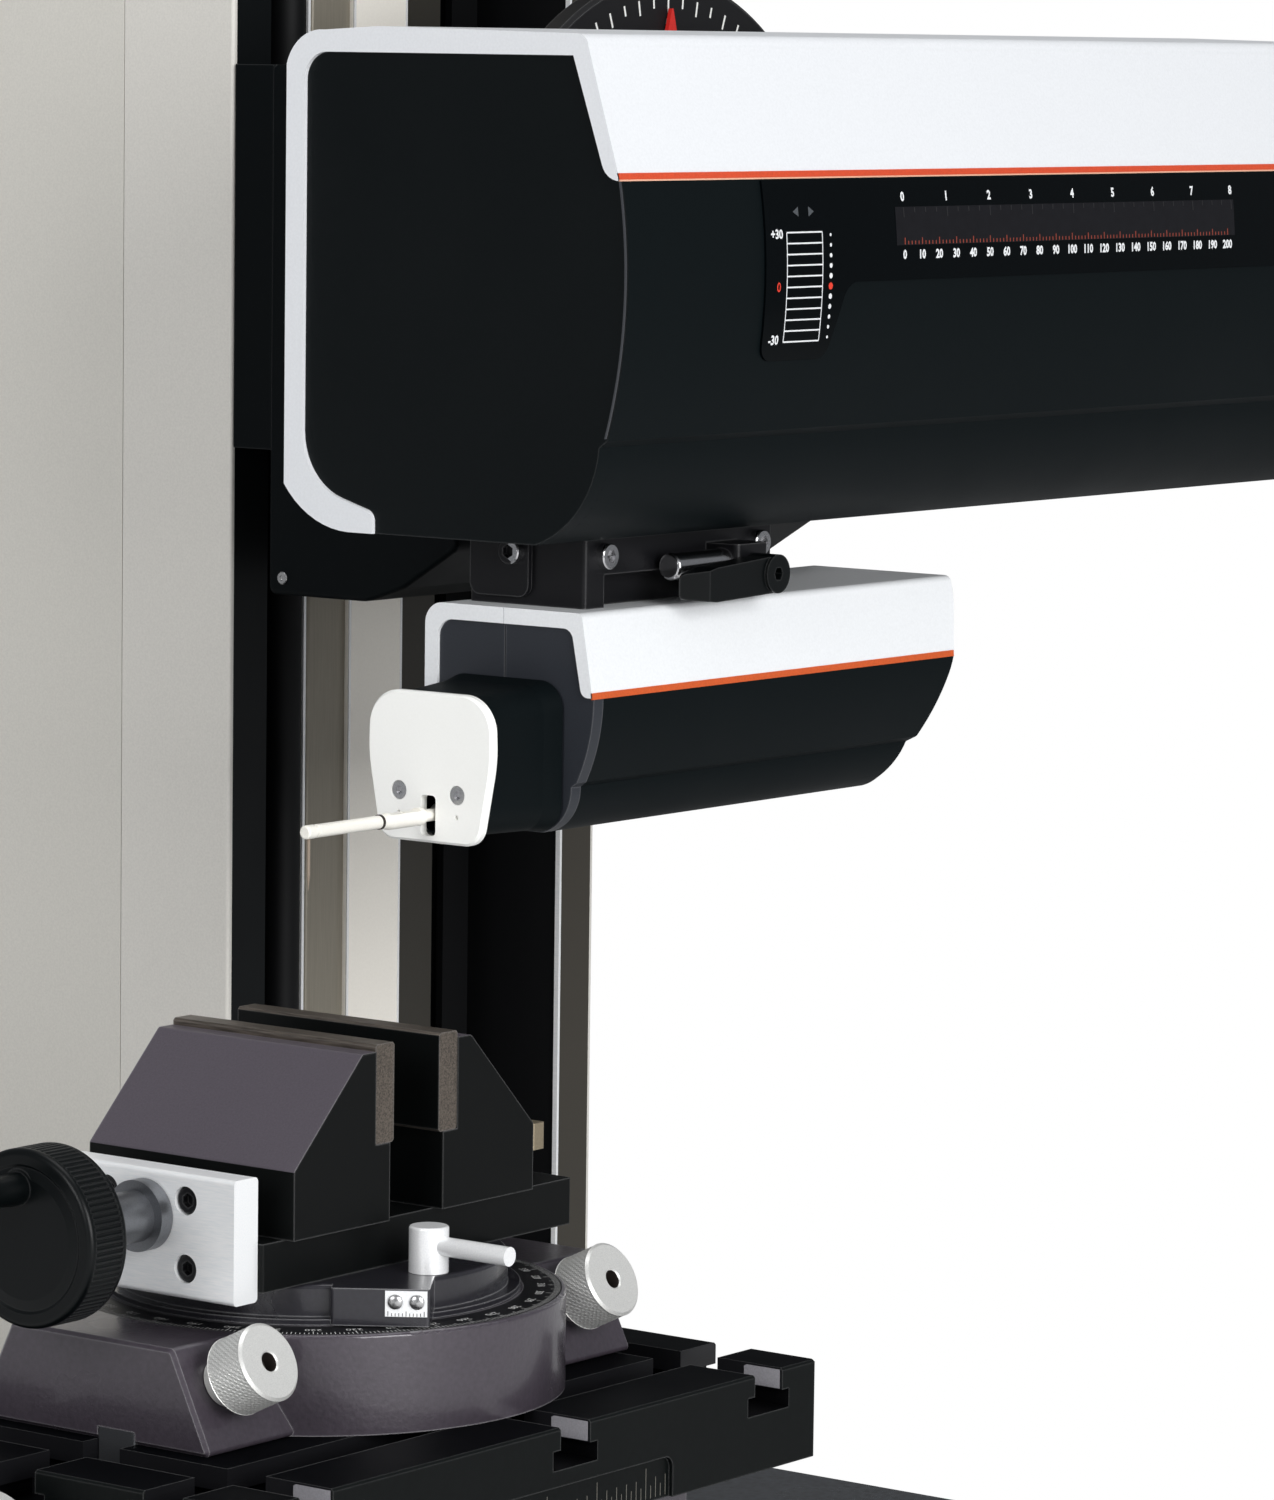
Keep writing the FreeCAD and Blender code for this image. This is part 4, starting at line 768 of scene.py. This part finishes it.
def lathe(work: Workshop, name: str, finish: Finish, body: str, origin: Point, axis: Point,
          profile: Sequence[Pair], sides: int = 32) -> None:
    """Make a smooth piece by turning a profile round an axis.

    Args:
        work: The workshop.
        name: Object name.
        finish: The finish.
        body: CAD body it moves with.
        origin: Start point in the row frame (mm).
        axis: Direction of the axis.
        profile: Pairs of distance along the axis and radius.
        sides: Number of sides.
    """
    verts, faces = turned(origin, axis, profile, sides, lambda h, r, a: r)
    work.piece(name, verts, faces, finish, body, smooth=True)


@dataclass(frozen=True)
class TraverseUnit:
    """White and black drive unit with its display and scales."""

    work: Workshop
    left: float = -151.0
    right: float = 332.0
    line_z: float = 24.8
    bar_left: float = -66.2
    bar_right: float = -46.6
    bar_top: float = 6.4
    bar_low: float = -28.6
    rungs: int = 11
    rung_half: float = 0.24
    rail_half: float = 0.2
    figure_x: float = -71.6
    zero_x: float = -70.6
    figure_inset: float = 0.6
    dots_x: float = -42.0
    dot_pitch: float = 3.3
    arrow_gap: float = 4.0
    arrow_reach: Pair = (1.8, 1.2)
    arrow_z: Point = (13.0, 14.6, 11.4)
    panel_proud: float = 0.88
    window_proud: float = 0.95
    window_print: float = 1.0
    window: Tuple[float, float, float, float] = (-4.7, 204.8, 1.3, 13.8)
    tick_half: float = 0.22
    tick_inset: float = 0.2
    figure_gap: float = 3.2
    inch: float = 25.4
    # Width, standing-off and height of the painted corner highlights
    seam_width: float = 0.6
    seam_proud: float = 0.15
    seam_z: Pair = (-56.5, 23.8)

    def build(self) -> None:
        """Paint the unit and add its line, display and scales."""
        w = self.work
        w.paint(Finishes.WHITE, "drive_cover", "end_frames")
        w.paint(Finishes.HOUSING, "drive_housing")
        w.paint(Finishes.BLACK, "end_panels")
        w.accent("end_panels", Finishes.HOUSING, lambda c, n: abs(n.x) < 0.7)
        w.paint(Finishes.GLOSS, "display_panel")
        w.paint(Finishes.BEAM, "drive_beam")
        w.paint(Finishes.STEEL, "tilt_spindle", "drive_rail", "drive_screw")
        w.paint(Finishes.RED, "angle_pointer")
        for name, low, high, proud, finish in (("drive_orange_line", -0.8, 1.2, 0.3, Finishes.ORANGE),
                                               ("drive_pale_line", -1.3, -0.8, 0.25, Finishes.PALE_LINE)):
            z = (self.line_z + low, self.line_z + high)
            strip(w, name, DRIVE_FRONT, (self.left, self.right), z, proud, finish, "traverse")
        self.ladder()
        self.scales()
        self.end_line()

    def ladder(self) -> None:
        """Print the level display: rungs, figures, arrows and dots."""
        place = on_front(DRIVE_FRONT, self.panel_proud)
        grey, red, dim = Marking(place), Marking(place), Marking(place)
        pitch = (self.bar_top - self.bar_low) / (self.rungs - 1)
        for k in range(self.rungs):
            z = self.bar_top - pitch * k
            grey.bar(self.bar_left, self.bar_right, z - self.rung_half, z + self.rung_half)
        for x in (self.bar_left, self.bar_right):
            grey.bar(x - self.rail_half, x + self.rail_half, self.bar_low, self.bar_top)
        middle = (self.bar_top + self.bar_low) / 2
        grey.text("+30", self.figure_x, self.bar_top - self.figure_inset, height=3.0, bold=0.12)
        red.text("0", self.zero_x, middle, height=3.2, bold=0.04)
        grey.text("-30", self.figure_x, self.bar_low + self.figure_inset, height=3.0, bold=0.12)
        for k in range(-5, 6):
            mark = red if k == 0 else grey
            mark.dot(self.dots_x, middle + self.dot_pitch * k, r=1.15 if k == 0 else 1.0 - 0.1 * abs(k))
        tip, top, low = self.arrow_z
        ahead, back = self.arrow_reach
        for side in (-1, 1):
            x = (self.bar_left + self.bar_right) / 2 + side * self.arrow_gap
            dim.polygon([(x + side * ahead, tip), (x - side * back, top), (x - side * back, low)])
        grey.make(self.work, "level_marks", Finishes.PRINT_GREY, "traverse")
        red.make(self.work, "level_marks_red", Finishes.PRINT_RED, "traverse")
        dim.make(self.work, "level_arrows", Finishes.PRINT_DIM, "traverse")

    def scales(self) -> None:
        """Print the travel window with its two scales."""
        x0, x1, z0, z1 = self.window
        strip(self.work, "travel_window", DRIVE_FRONT, (x0, x1), (z0, z1), self.window_proud, Finishes.WINDOW,
              "traverse")
        place = on_front(DRIVE_FRONT, self.window_print)
        red, dark = Marking(place), Marking(place)
        grey = Marking(on_front(DRIVE_FRONT, self.panel_proud))
        for k in range(101):
            x = 2.0 * k
            length = 1.4 if k % 5 else 2.4
            red.bar(x - self.tick_half, x + self.tick_half, z0 + self.tick_inset, z0 + length)
        for k in range(21):
            grey.text(str(10 * k), 10.0 * k, z0 - self.figure_gap, height=2.9, bold=0.16)
        for k in range(33):
            x = self.inch * k / 4
            length = 1.8 if k % 4 else 3.4
            dark.bar(x - self.tick_half, x + self.tick_half, z1 - length, z1 - self.tick_inset)
            if k % 4 == 0:
                grey.text(str(k // 4), x, z1 + self.figure_gap, height=3.0, bold=0.16)
        red.make(self.work, "scale_ticks_red", Finishes.PRINT_RUST, "traverse")
        dark.make(self.work, "scale_ticks_dark", Finishes.PRINT_DARK, "traverse")
        grey.make(self.work, "scale_figures", Finishes.PRINT_GREY, "traverse")

    def end_line(self) -> None:
        """Make the thin painted highlights on the corners between the shells and the end frames."""
        for name, x in (("left_seam", self.left + 0.1), ("right_seam", self.right - 0.7)):
            strip(self.work, name, DRIVE_FRONT, (x, x + self.seam_width), self.seam_z, self.seam_proud,
                  Finishes.SEAM, "traverse")


@dataclass(frozen=True)
class Clamp:
    """Carriage and clamp under the traverse unit. The screws past two limits of the drive frame get a dark
    finish as painted shade.
    """

    work: Workshop
    dark_left: float = -100.0
    dark_behind: float = 71.0

    def build(self) -> None:
        """Paint the clamp's pieces."""
        w = self.work
        w.paint(Finishes.BLACKED, "carriage", "clamp_block", "block_plate")
        w.paint(Finishes.CHROME, "clamp_rod", "block_screws")
        # Screws behind and left of these limits get the dark finish: painted shade
        w.accent("block_screws", Finishes.BLACKED, lambda c, n: (
            c.y > DRIVE_ZERO[1] + self.dark_behind and c.x < DRIVE_ZERO[0] + self.dark_left))
        w.paint(Finishes.PLASTIC, "clamp_lever")


@dataclass(frozen=True)
class Detector:
    """Detector with its nose and stylus."""

    work: Workshop
    line_x: Pair = (-123.0, 81.4)
    line_z: Pair = (-141.9, -139.8)
    line_proud: float = 0.25
    arm: Point = (-184.4, 68.6, -178.6)
    needle_below: float = 2.4
    sleeve: Tuple[Pair, ...] = ((0.0, 1.5), (0.0, 2.12), (31.0, 2.12), (31.5, 1.5))
    joint: Tuple[Pair, ...] = ((-0.4, 2.0), (-0.4, 2.4), (0.5, 2.4), (0.5, 2.0))

    def build(self) -> None:
        """Paint the detector and add its coloured line and the stylus's sleeve and joint."""
        w = self.work
        w.paint(Finishes.BRIGHT, "detector_cover", "detector_end_frame")
        w.paint(Finishes.HOUSING, "detector_housing", "nose_shroud")
        w.paint(Finishes.PROBE_END, "detector_end_panel")
        w.paint(Finishes.CREAM, "nose_plate")
        w.paint(Finishes.CHROME, "nose_screws")
        w.paint(Finishes.ARM, "stylus_arm", "stylus_tip")
        arm = tuple(zero + at for zero, at in zip(DRIVE_ZERO, self.arm))
        w.accent("stylus_tip", Finishes.NEEDLE, lambda c, n: c.z < arm[2] - self.needle_below)
        lathe(w, "stylus_sleeve", Finishes.ARM, "stylus", arm, (-1, 0, 0), self.sleeve)
        lathe(w, "stylus_joint", Finishes.HOLE, "stylus", arm, (-1, 0, 0), self.joint)
        strip(w, "probe_orange_line", PROBE_FRONT, self.line_x, self.line_z, self.line_proud,
              Finishes.ORANGE_WARM, "probe")


@dataclass(frozen=True)
class CrossTable:
    """Cross table with its T-slots, dials and front scale."""

    work: Workshop
    top: float = 209.5
    slot_floor: float = 194.0
    front: float = -195.5
    neck_walls: Tuple[float, ...] = (-202.65, -79.65, 20.85)
    slot_x: Pair = (-239.5, 39.5)
    slot_y: Pair = (-195.0, -16.0)
    slot_lip: float = 0.9
    undercut: float = 6.9
    mouth_x: Pair = (-0.12, 0.1)
    mouth: Tuple[Pair, ...] = ((1.0, 202.8), (15.0, 202.8), (15.0, 208.4), (14.0, 208.9), (1.0, 208.9))
    scale_y: float = -194.06
    scale_left: float = -174.0
    scale_step: float = 2.5
    scale_ticks: int = 56
    scale_foot: float = 179.0
    tick_half: float = 0.15
    tick_tops: Point = (188.8, 185.5, 183.0)

    def build(self) -> None:
        """Paint the table and its slot walls, add painted shade in the slot undercuts and painted highlights
        at the slot mouths, and print its scale.
        """
        w = self.work
        w.paint(Finishes.CAST, "table_base", "table_saddle")
        w.paint(Finishes.TABLE, "table_top")
        # Top faces painted darker than the table's sides: painted shade
        w.accent("table_top", Finishes.BED, lambda c, n: n.z > 0.9 and c.z > self.top - 0.1)
        w.accent("table_top", Finishes.SLOT, self._is_slot)
        # Slot faces below the undercut depth get painted shade
        w.accent("table_top", Finishes.SLOT_DARK,
                 lambda c, n: self._is_slot(c, n) and c.z < self.top - self.undercut)
        self.mouths()
        w.paint(Finishes.KNURL, "x_dial", "y_dial")
        self.scale()

    def _is_slot(self, centre: Vector, normal: Vector) -> bool:
        """Say whether a face is a wall or floor of a slot.

        Args:
            centre: Centre of the face in mm.
            normal: Its normal.

        Returns:
            True for slot faces.
        """
        inside = self.slot_x[0] < centre.x < self.slot_x[1] and self.slot_y[0] < centre.y < self.slot_y[1]
        return inside and self.slot_floor < centre.z < self.top - self.slot_lip

    def mouths(self) -> None:
        """Lay patches of painted highlight on the neck walls where the cross slots open at the front."""
        verts: List[Point] = []
        faces: Faces = []
        n = len(self.mouth)
        for wall in self.neck_walls:
            near = len(verts)
            far = near + n
            verts += [(wall + dx, self.front + dy, z) for dx in self.mouth_x for dy, z in self.mouth]
            faces += [list(range(near, far)), list(range(far, far + n))[::-1]]
            faces += [[near + k, far + k, far + (k + 1) % n, near + (k + 1) % n] for k in range(n)]
        self.work.piece("slot_mouth_walls", verts, faces, Finishes.MOUTH, "table")

    def scale(self) -> None:
        """Print the scale in the window of the table's front face."""
        marks = Marking(lambda u, v: Vector((u, self.scale_y, v)))
        long, middle, short = self.tick_tops
        for k in range(self.scale_ticks):
            x = self.scale_left + self.scale_step * k
            top = long if k % 10 == 0 else (middle if k % 2 == 0 else short)
            marks.bar(x - self.tick_half, x + self.tick_half, self.scale_foot, top)
        marks.make(self.work, "table_scale", Finishes.PRINT_TABLE, "table")


@dataclass(frozen=True)
class KnobShape:
    """Sizes of a knurled clamping knob (mm)."""

    foot: Pair = (0.3, 4.0)
    neck: float = 7.5
    neck_end: float = 6.0
    radius: float = 12.2
    end: float = 21.0
    hole: float = 3.0
    hole_depth: float = 5.0
    lip: Pair = (0.4, 0.5)
    chamfer: float = 0.8
    rim: float = 0.9
    depth: float = 0.35
    ridges: int = 44
    lead: float = 0.55
    rows: int = 24
    sides: int = 144

    def profile(self) -> List[Pair]:
        """Give the knob's outline from its foot to the bottom of its hole.

        Returns:
            Pairs of distance along the axis and radius.
        """
        start = self.neck_end + self.rim
        span = self.end - self.neck_end - 2.0 * self.rim
        cut = [(start + span * j / self.rows, self.radius) for j in range(self.rows + 1)]
        face = self.radius - self.rim
        floor = self.end - self.hole_depth
        return [self.foot, (self.foot[0], self.neck), (self.neck_end, self.neck), (self.neck_end, face),
                (self.neck_end + self.chamfer, self.radius), *cut, (self.end - self.chamfer, self.radius),
                (self.end, face), (self.end, self.hole + self.lip[1]), (self.end - self.lip[0], self.hole),
                (floor, self.hole), (floor, 0.0)]

    def radius_at(self, h: float, r: float, angle: float) -> float:
        """Give the radius at one point, cut by two crossing knurls on the rim.

        Args:
            h: Distance along the axis.
            r: Radius of the outline there.
            angle: Angle round the axis.

        Returns:
            The radius with the knurl cut in.
        """
        if r < self.radius or not self.neck_end + self.chamfer < h < self.end - self.chamfer:
            return r
        one = abs((angle * self.ridges / math.tau + h * self.lead) % 1.0 - 0.5)
        two = abs((angle * self.ridges / math.tau - h * self.lead) % 1.0 - 0.5)
        return r - self.depth * 2.0 * max(0.5 - 0.5 * (one + two), 0.0)


@dataclass(frozen=True)
class RotaryVise:
    """Rotary vise with its graduated ring, jaws and knobs."""

    work: Workshop
    ring_out: float = 77.6
    ring_print: float = 31.06
    figure_inset: float = 6.2
    figure_height: float = 2.6
    ring_tick_half: float = 0.12
    lug_from: float = 58.6
    slope_foot: float = 47.4
    slope_head: float = 32.3
    slope_rise: float = 31.0
    knob_z: float = 19.0
    knob_x: Pair = (-88.0, 80.5)
    knob: KnobShape = KnobShape()
    pad_out: Point = (-0.8192, -0.5736, 0.0)
    pad_along: Point = (0.5736, -0.8192, 0.0)
    plate_from: Pair = (65.5, 66.1)
    plate_outline: Tuple[Pair, ...] = ((27.5, 34.6), (40.3, 34.6), (40.3, 42.5), (27.5, 42.5))
    plate_print: float = 66.16
    vernier_left: float = 28.4
    vernier_step: float = 1.1
    vernier_half: float = 0.1
    vernier_z: Point = (34.7, 35.7, 36.3)
    plate_screws: Pair = (30.6, 37.2)
    plate_screw_z: float = 39.2
    screw_profile: Tuple[Pair, ...] = ((0.0, 2.3), (0.5, 2.3), (0.8, 2.0), (1.1, 1.1), (1.2, 0.0))

    def build(self) -> None:
        """Paint the vise, print its ring and make its knobs."""
        w = self.work
        w.paint(Finishes.CAST, "vise_base")
        w.paint(Finishes.TURN, "turntable")
        w.paint(Finishes.JAW_DARK, "slide_bar")
        w.paint(Finishes.JAW, "jaw_left", "jaw_right")
        for node in ("jaw_left", "jaw_right"):
            # Flanks along Y and faces turned down get near-black painted shade
            w.accent(node, Finishes.JAW_DARK, lambda c, n: abs(n.y) > 0.7 or n.z < 0.3)
        w.accent("jaw_right", Finishes.LUG, lambda c, n: c.x > VISE_ZERO[0] + self.lug_from)
        w.paint(Finishes.SPINDLE, "vise_key", "vise_screw")
        w.paint(Finishes.SATIN, "lock_lever")
        w.paint(Finishes.RING, "scale_ring")
        w.paint(Finishes.ALU, "end_plate")
        w.paint(Finishes.BLACKED, "end_plate_screws")
        w.paint(Finishes.PLASTIC, "handwheel")
        w.paint(Finishes.PLATE, "jaw_plate_left", "jaw_plate_right")
        for node, way in (("jaw_plate_left", 1.0), ("jaw_plate_right", -1.0)):
            # Inner faces of the jaw plates get near-black painted shade
            w.accent(node, Finishes.JAW_DARK, lambda c, n, way=way: n.x * way > 0.9)
        self.ring()
        self.vernier()
        run = self.slope_foot - self.slope_head
        slope = math.atan2(run, self.slope_rise)
        normal = (0.0, -math.cos(slope), math.sin(slope))
        y = -(self.slope_foot - run * self.knob_z / self.slope_rise)
        self.knurled("knob_left", "left_knob", (self.knob_x[0], y, self.knob_z), normal)
        self.knurled("knob_right", "right_knob", (self.knob_x[1], y, self.knob_z), normal)

    def ring(self) -> None:
        """Print ticks and figures on the graduated ring."""
        marks = Marking(self._radial(0.0))
        for degree in range(360):
            length = 4.0 if degree % 10 == 0 else (3.0 if degree % 5 == 0 else 2.0)
            marks.place = self._radial(math.radians(degree))
            marks.bar(-self.ring_tick_half, self.ring_tick_half, self.ring_out - length, self.ring_out)
            if degree % 10 == 0:
                marks.text(str(degree), 0.0, self.ring_out - self.figure_inset, self.figure_height)
        marks.make(self.work, "ring_marks", Finishes.PRINT_RING, "table")

    def _radial(self, angle: float) -> Place:
        """Make the placing rule for one direction on the ring, read from outside.

        Args:
            angle: Direction about the vise axis, in radians.

        Returns:
            A rule from sideways offset and radius to a point.
        """
        s, c = math.sin(angle), math.cos(angle)
        x, y, z = VISE_ZERO
        return lambda u, v: Vector((x + v * c + u * s, y + v * s - u * c, z + self.ring_print))

    def vernier(self) -> None:
        """Make the vernier plate with its ticks and two screws on the turntable's pad."""
        n = Vector(self.pad_out)
        t = Vector(self.pad_along)
        origin = Vector(VISE_ZERO)
        corners = [origin + n * d + t * s + Vector((0, 0, z))
                   for d in self.plate_from for s, z in self.plate_outline]
        faces = [[4, 5, 6, 7], [0, 1, 5, 4], [1, 2, 6, 5], [2, 3, 7, 6], [3, 0, 4, 7]]
        self.work.piece("vernier_plate", corners, faces, Finishes.ALU, "turning_vise")
        marks = Marking(lambda u, v: origin + n * self.plate_print + t * u + Vector((0, 0, v)))
        foot, short, long = self.vernier_z
        for k in range(11):
            x = self.vernier_left + self.vernier_step * k
            marks.bar(x - self.vernier_half, x + self.vernier_half, foot, short if k % 5 else long)
        marks.make(self.work, "vernier_marks", Finishes.PRINT_DARK, "turning_vise")
        for k, s in enumerate(self.plate_screws):
            at = origin + n * self.plate_from[1] + t * s + Vector((0, 0, self.plate_screw_z))
            lathe(self.work, "vernier_screw_%d" % (k + 1), Finishes.STEEL, "turning_vise", tuple(at),
                  tuple(n), self.screw_profile, sides=20)

    def knurled(self, node: str, body: str, at: Point, axis: Point) -> None:
        """Make a knob whose rim carries a crossed knurl, with painted shade in its hole, in place of its
        plain CAD node.

        Args:
            node: CAD node it stands for.
            body: CAD body it moves with.
            at: Foot of the knob in the vise frame.
            axis: Direction it points.
        """
        k = self.knob
        foot = Vector(at) + Vector(VISE_ZERO)
        verts, faces = turned(foot, axis, k.profile(), k.sides, k.radius_at)
        obj = self.work.piece(node + "_knurled", verts, faces, Finishes.KNURL, body)
        obj.data.materials.append(self.work.shop.material(Finishes.HOLE))
        # The last two rings of faces are the wall and the floor of the hole; they get painted shade
        for face in obj.data.polygons[-2 * k.sides:]:
            face.material_index = 1
        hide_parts(node)


@dataclass(frozen=True)
class Lamp:
    """A soft studio lamp (metres and watts)."""

    name: str
    at: Point
    size: float
    power: float


@dataclass(frozen=True)
class Studio:
    """Plain pale studio with the camera."""

    work: Workshop
    lens: float = 153.3
    at: Point = (-1.6062, -1.3573, 0.6289)
    yaw: float = 36.93
    pitch: float = 6.34
    roll: float = 0.76
    sensor: float = 36.0
    reach: float = 50.0
    aim: Point = (0.05, -0.03, 0.45)
    lamps: Tuple[Lamp, ...] = (
        Lamp("key", (-0.9, -3.2, 1.3), 1.8, 86.0),
        Lamp("side", (-3.2, -0.4, 1.8), 1.4, 42.0),
        Lamp("top", (0.2, -0.2, 3.2), 2.0, 28.0),
    )
    floor_half: float = 6.0
    floor_z: float = -0.001
    floor_colour: Colour = (0.8, 0.8, 0.8)
    floor_roughness: float = 0.8
    air: Colour = (0.92, 0.95, 1.0)
    air_strength: float = 0.22

    def build(self) -> None:
        """Set up the floor, the lamps, the surroundings and the camera."""
        self.floor()
        for lamp in self.lamps:
            data = bpy.data.lights.new(lamp.name, "AREA")
            data.energy = lamp.power
            data.size = lamp.size
            obj = linked(lamp.name, data)
            obj.location = lamp.at
            obj.rotation_mode = "QUATERNION"
            obj.rotation_quaternion = (Vector(self.aim) - Vector(lamp.at)).to_track_quat("-Z", "Y")
        self.surroundings()
        self.camera()
        bpy.context.scene.view_settings.view_transform = "Standard"

    def _white_for_camera(self, tree: Any, lit: Any, target: Any) -> None:
        """Show pure white to the camera and the lit shader to everything else.

        Args:
            tree: Node tree.
            lit: Output socket of the lit shader.
            target: Input socket of the output node.
        """
        path = tree.nodes.new("ShaderNodeLightPath")
        white = tree.nodes.new("ShaderNodeEmission")
        white.inputs["Color"].default_value = (1.0, 1.0, 1.0, 1.0)
        mix = tree.nodes.new("ShaderNodeMixShader")
        tree.links.new(path.outputs["Is Camera Ray"], mix.inputs["Fac"])
        tree.links.new(lit, mix.inputs[1])
        tree.links.new(white.outputs["Emission"], mix.inputs[2])
        tree.links.new(mix.outputs["Shader"], target)

    def floor(self) -> None:
        """Lay the floor."""
        mesh = bpy.data.meshes.new("floor")
        half, z = self.floor_half, self.floor_z
        corners = [(-half, -half, z), (half, -half, z), (half, half, z), (-half, half, z)]
        mesh.from_pydata(corners, [], [[0, 1, 2, 3]])
        mat = bpy.data.materials.new("floor")
        mat.use_nodes = True
        tree = mat.node_tree
        shader = tree.nodes["Principled BSDF"]
        shader.inputs["Base Color"].default_value = (*self.floor_colour, 1.0)
        shader.inputs["Roughness"].default_value = self.floor_roughness
        self._white_for_camera(tree, shader.outputs["BSDF"], tree.nodes["Material Output"].inputs["Surface"])
        mesh.materials.append(mat)
        obj = linked("floor", mesh)

    def surroundings(self) -> None:
        """Make the even pale surroundings."""
        world = bpy.data.worlds.new("studio")
        bpy.context.scene.world = world
        world.use_nodes = True
        tree = world.node_tree
        back = tree.nodes["Background"]
        back.inputs["Color"].default_value = (*self.air, 1.0)
        back.inputs["Strength"].default_value = self.air_strength
        self._white_for_camera(tree, back.outputs["Background"], tree.nodes["World Output"].inputs["Surface"])

    def camera(self) -> None:
        """Place the camera."""
        data = bpy.data.cameras.new("camera")
        data.lens = self.lens
        data.sensor_width = self.sensor
        data.clip_end = self.reach
        obj = linked("camera", data)
        yaw, pitch, roll = (math.radians(v) for v in (self.yaw, self.pitch, self.roll))
        forward = Vector((math.cos(yaw) * math.cos(pitch), math.sin(yaw) * math.cos(pitch), -math.sin(pitch)))
        side = Vector((math.sin(yaw), -math.cos(yaw), 0.0))
        up = side.cross(forward)
        right = math.cos(roll) * side + math.sin(roll) * up
        top = -math.sin(roll) * side + math.cos(roll) * up
        turn = Matrix((right, top, -forward)).transposed()
        obj.matrix_world = Matrix.Translation(Vector(self.at)) @ turn.to_4x4()
        bpy.context.scene.camera = obj


def main() -> None:
    """Build every sub-assembly in order."""
    logging.basicConfig(level=logging.INFO, format="%(message)s")
    for name in [o.name for o in bpy.data.objects]:
        bpy.data.objects.remove(bpy.data.objects[name])
    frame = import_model()
    work = Workshop(frame)
    for kind in (Stand, Slider, TraverseUnit, Clamp, Detector, CrossTable, RotaryVise, Studio):
        assembly = kind(work)
        assembly.build()
        LOG.info("built %s", type(assembly).__name__)


if __name__ == "__main__":
    main()
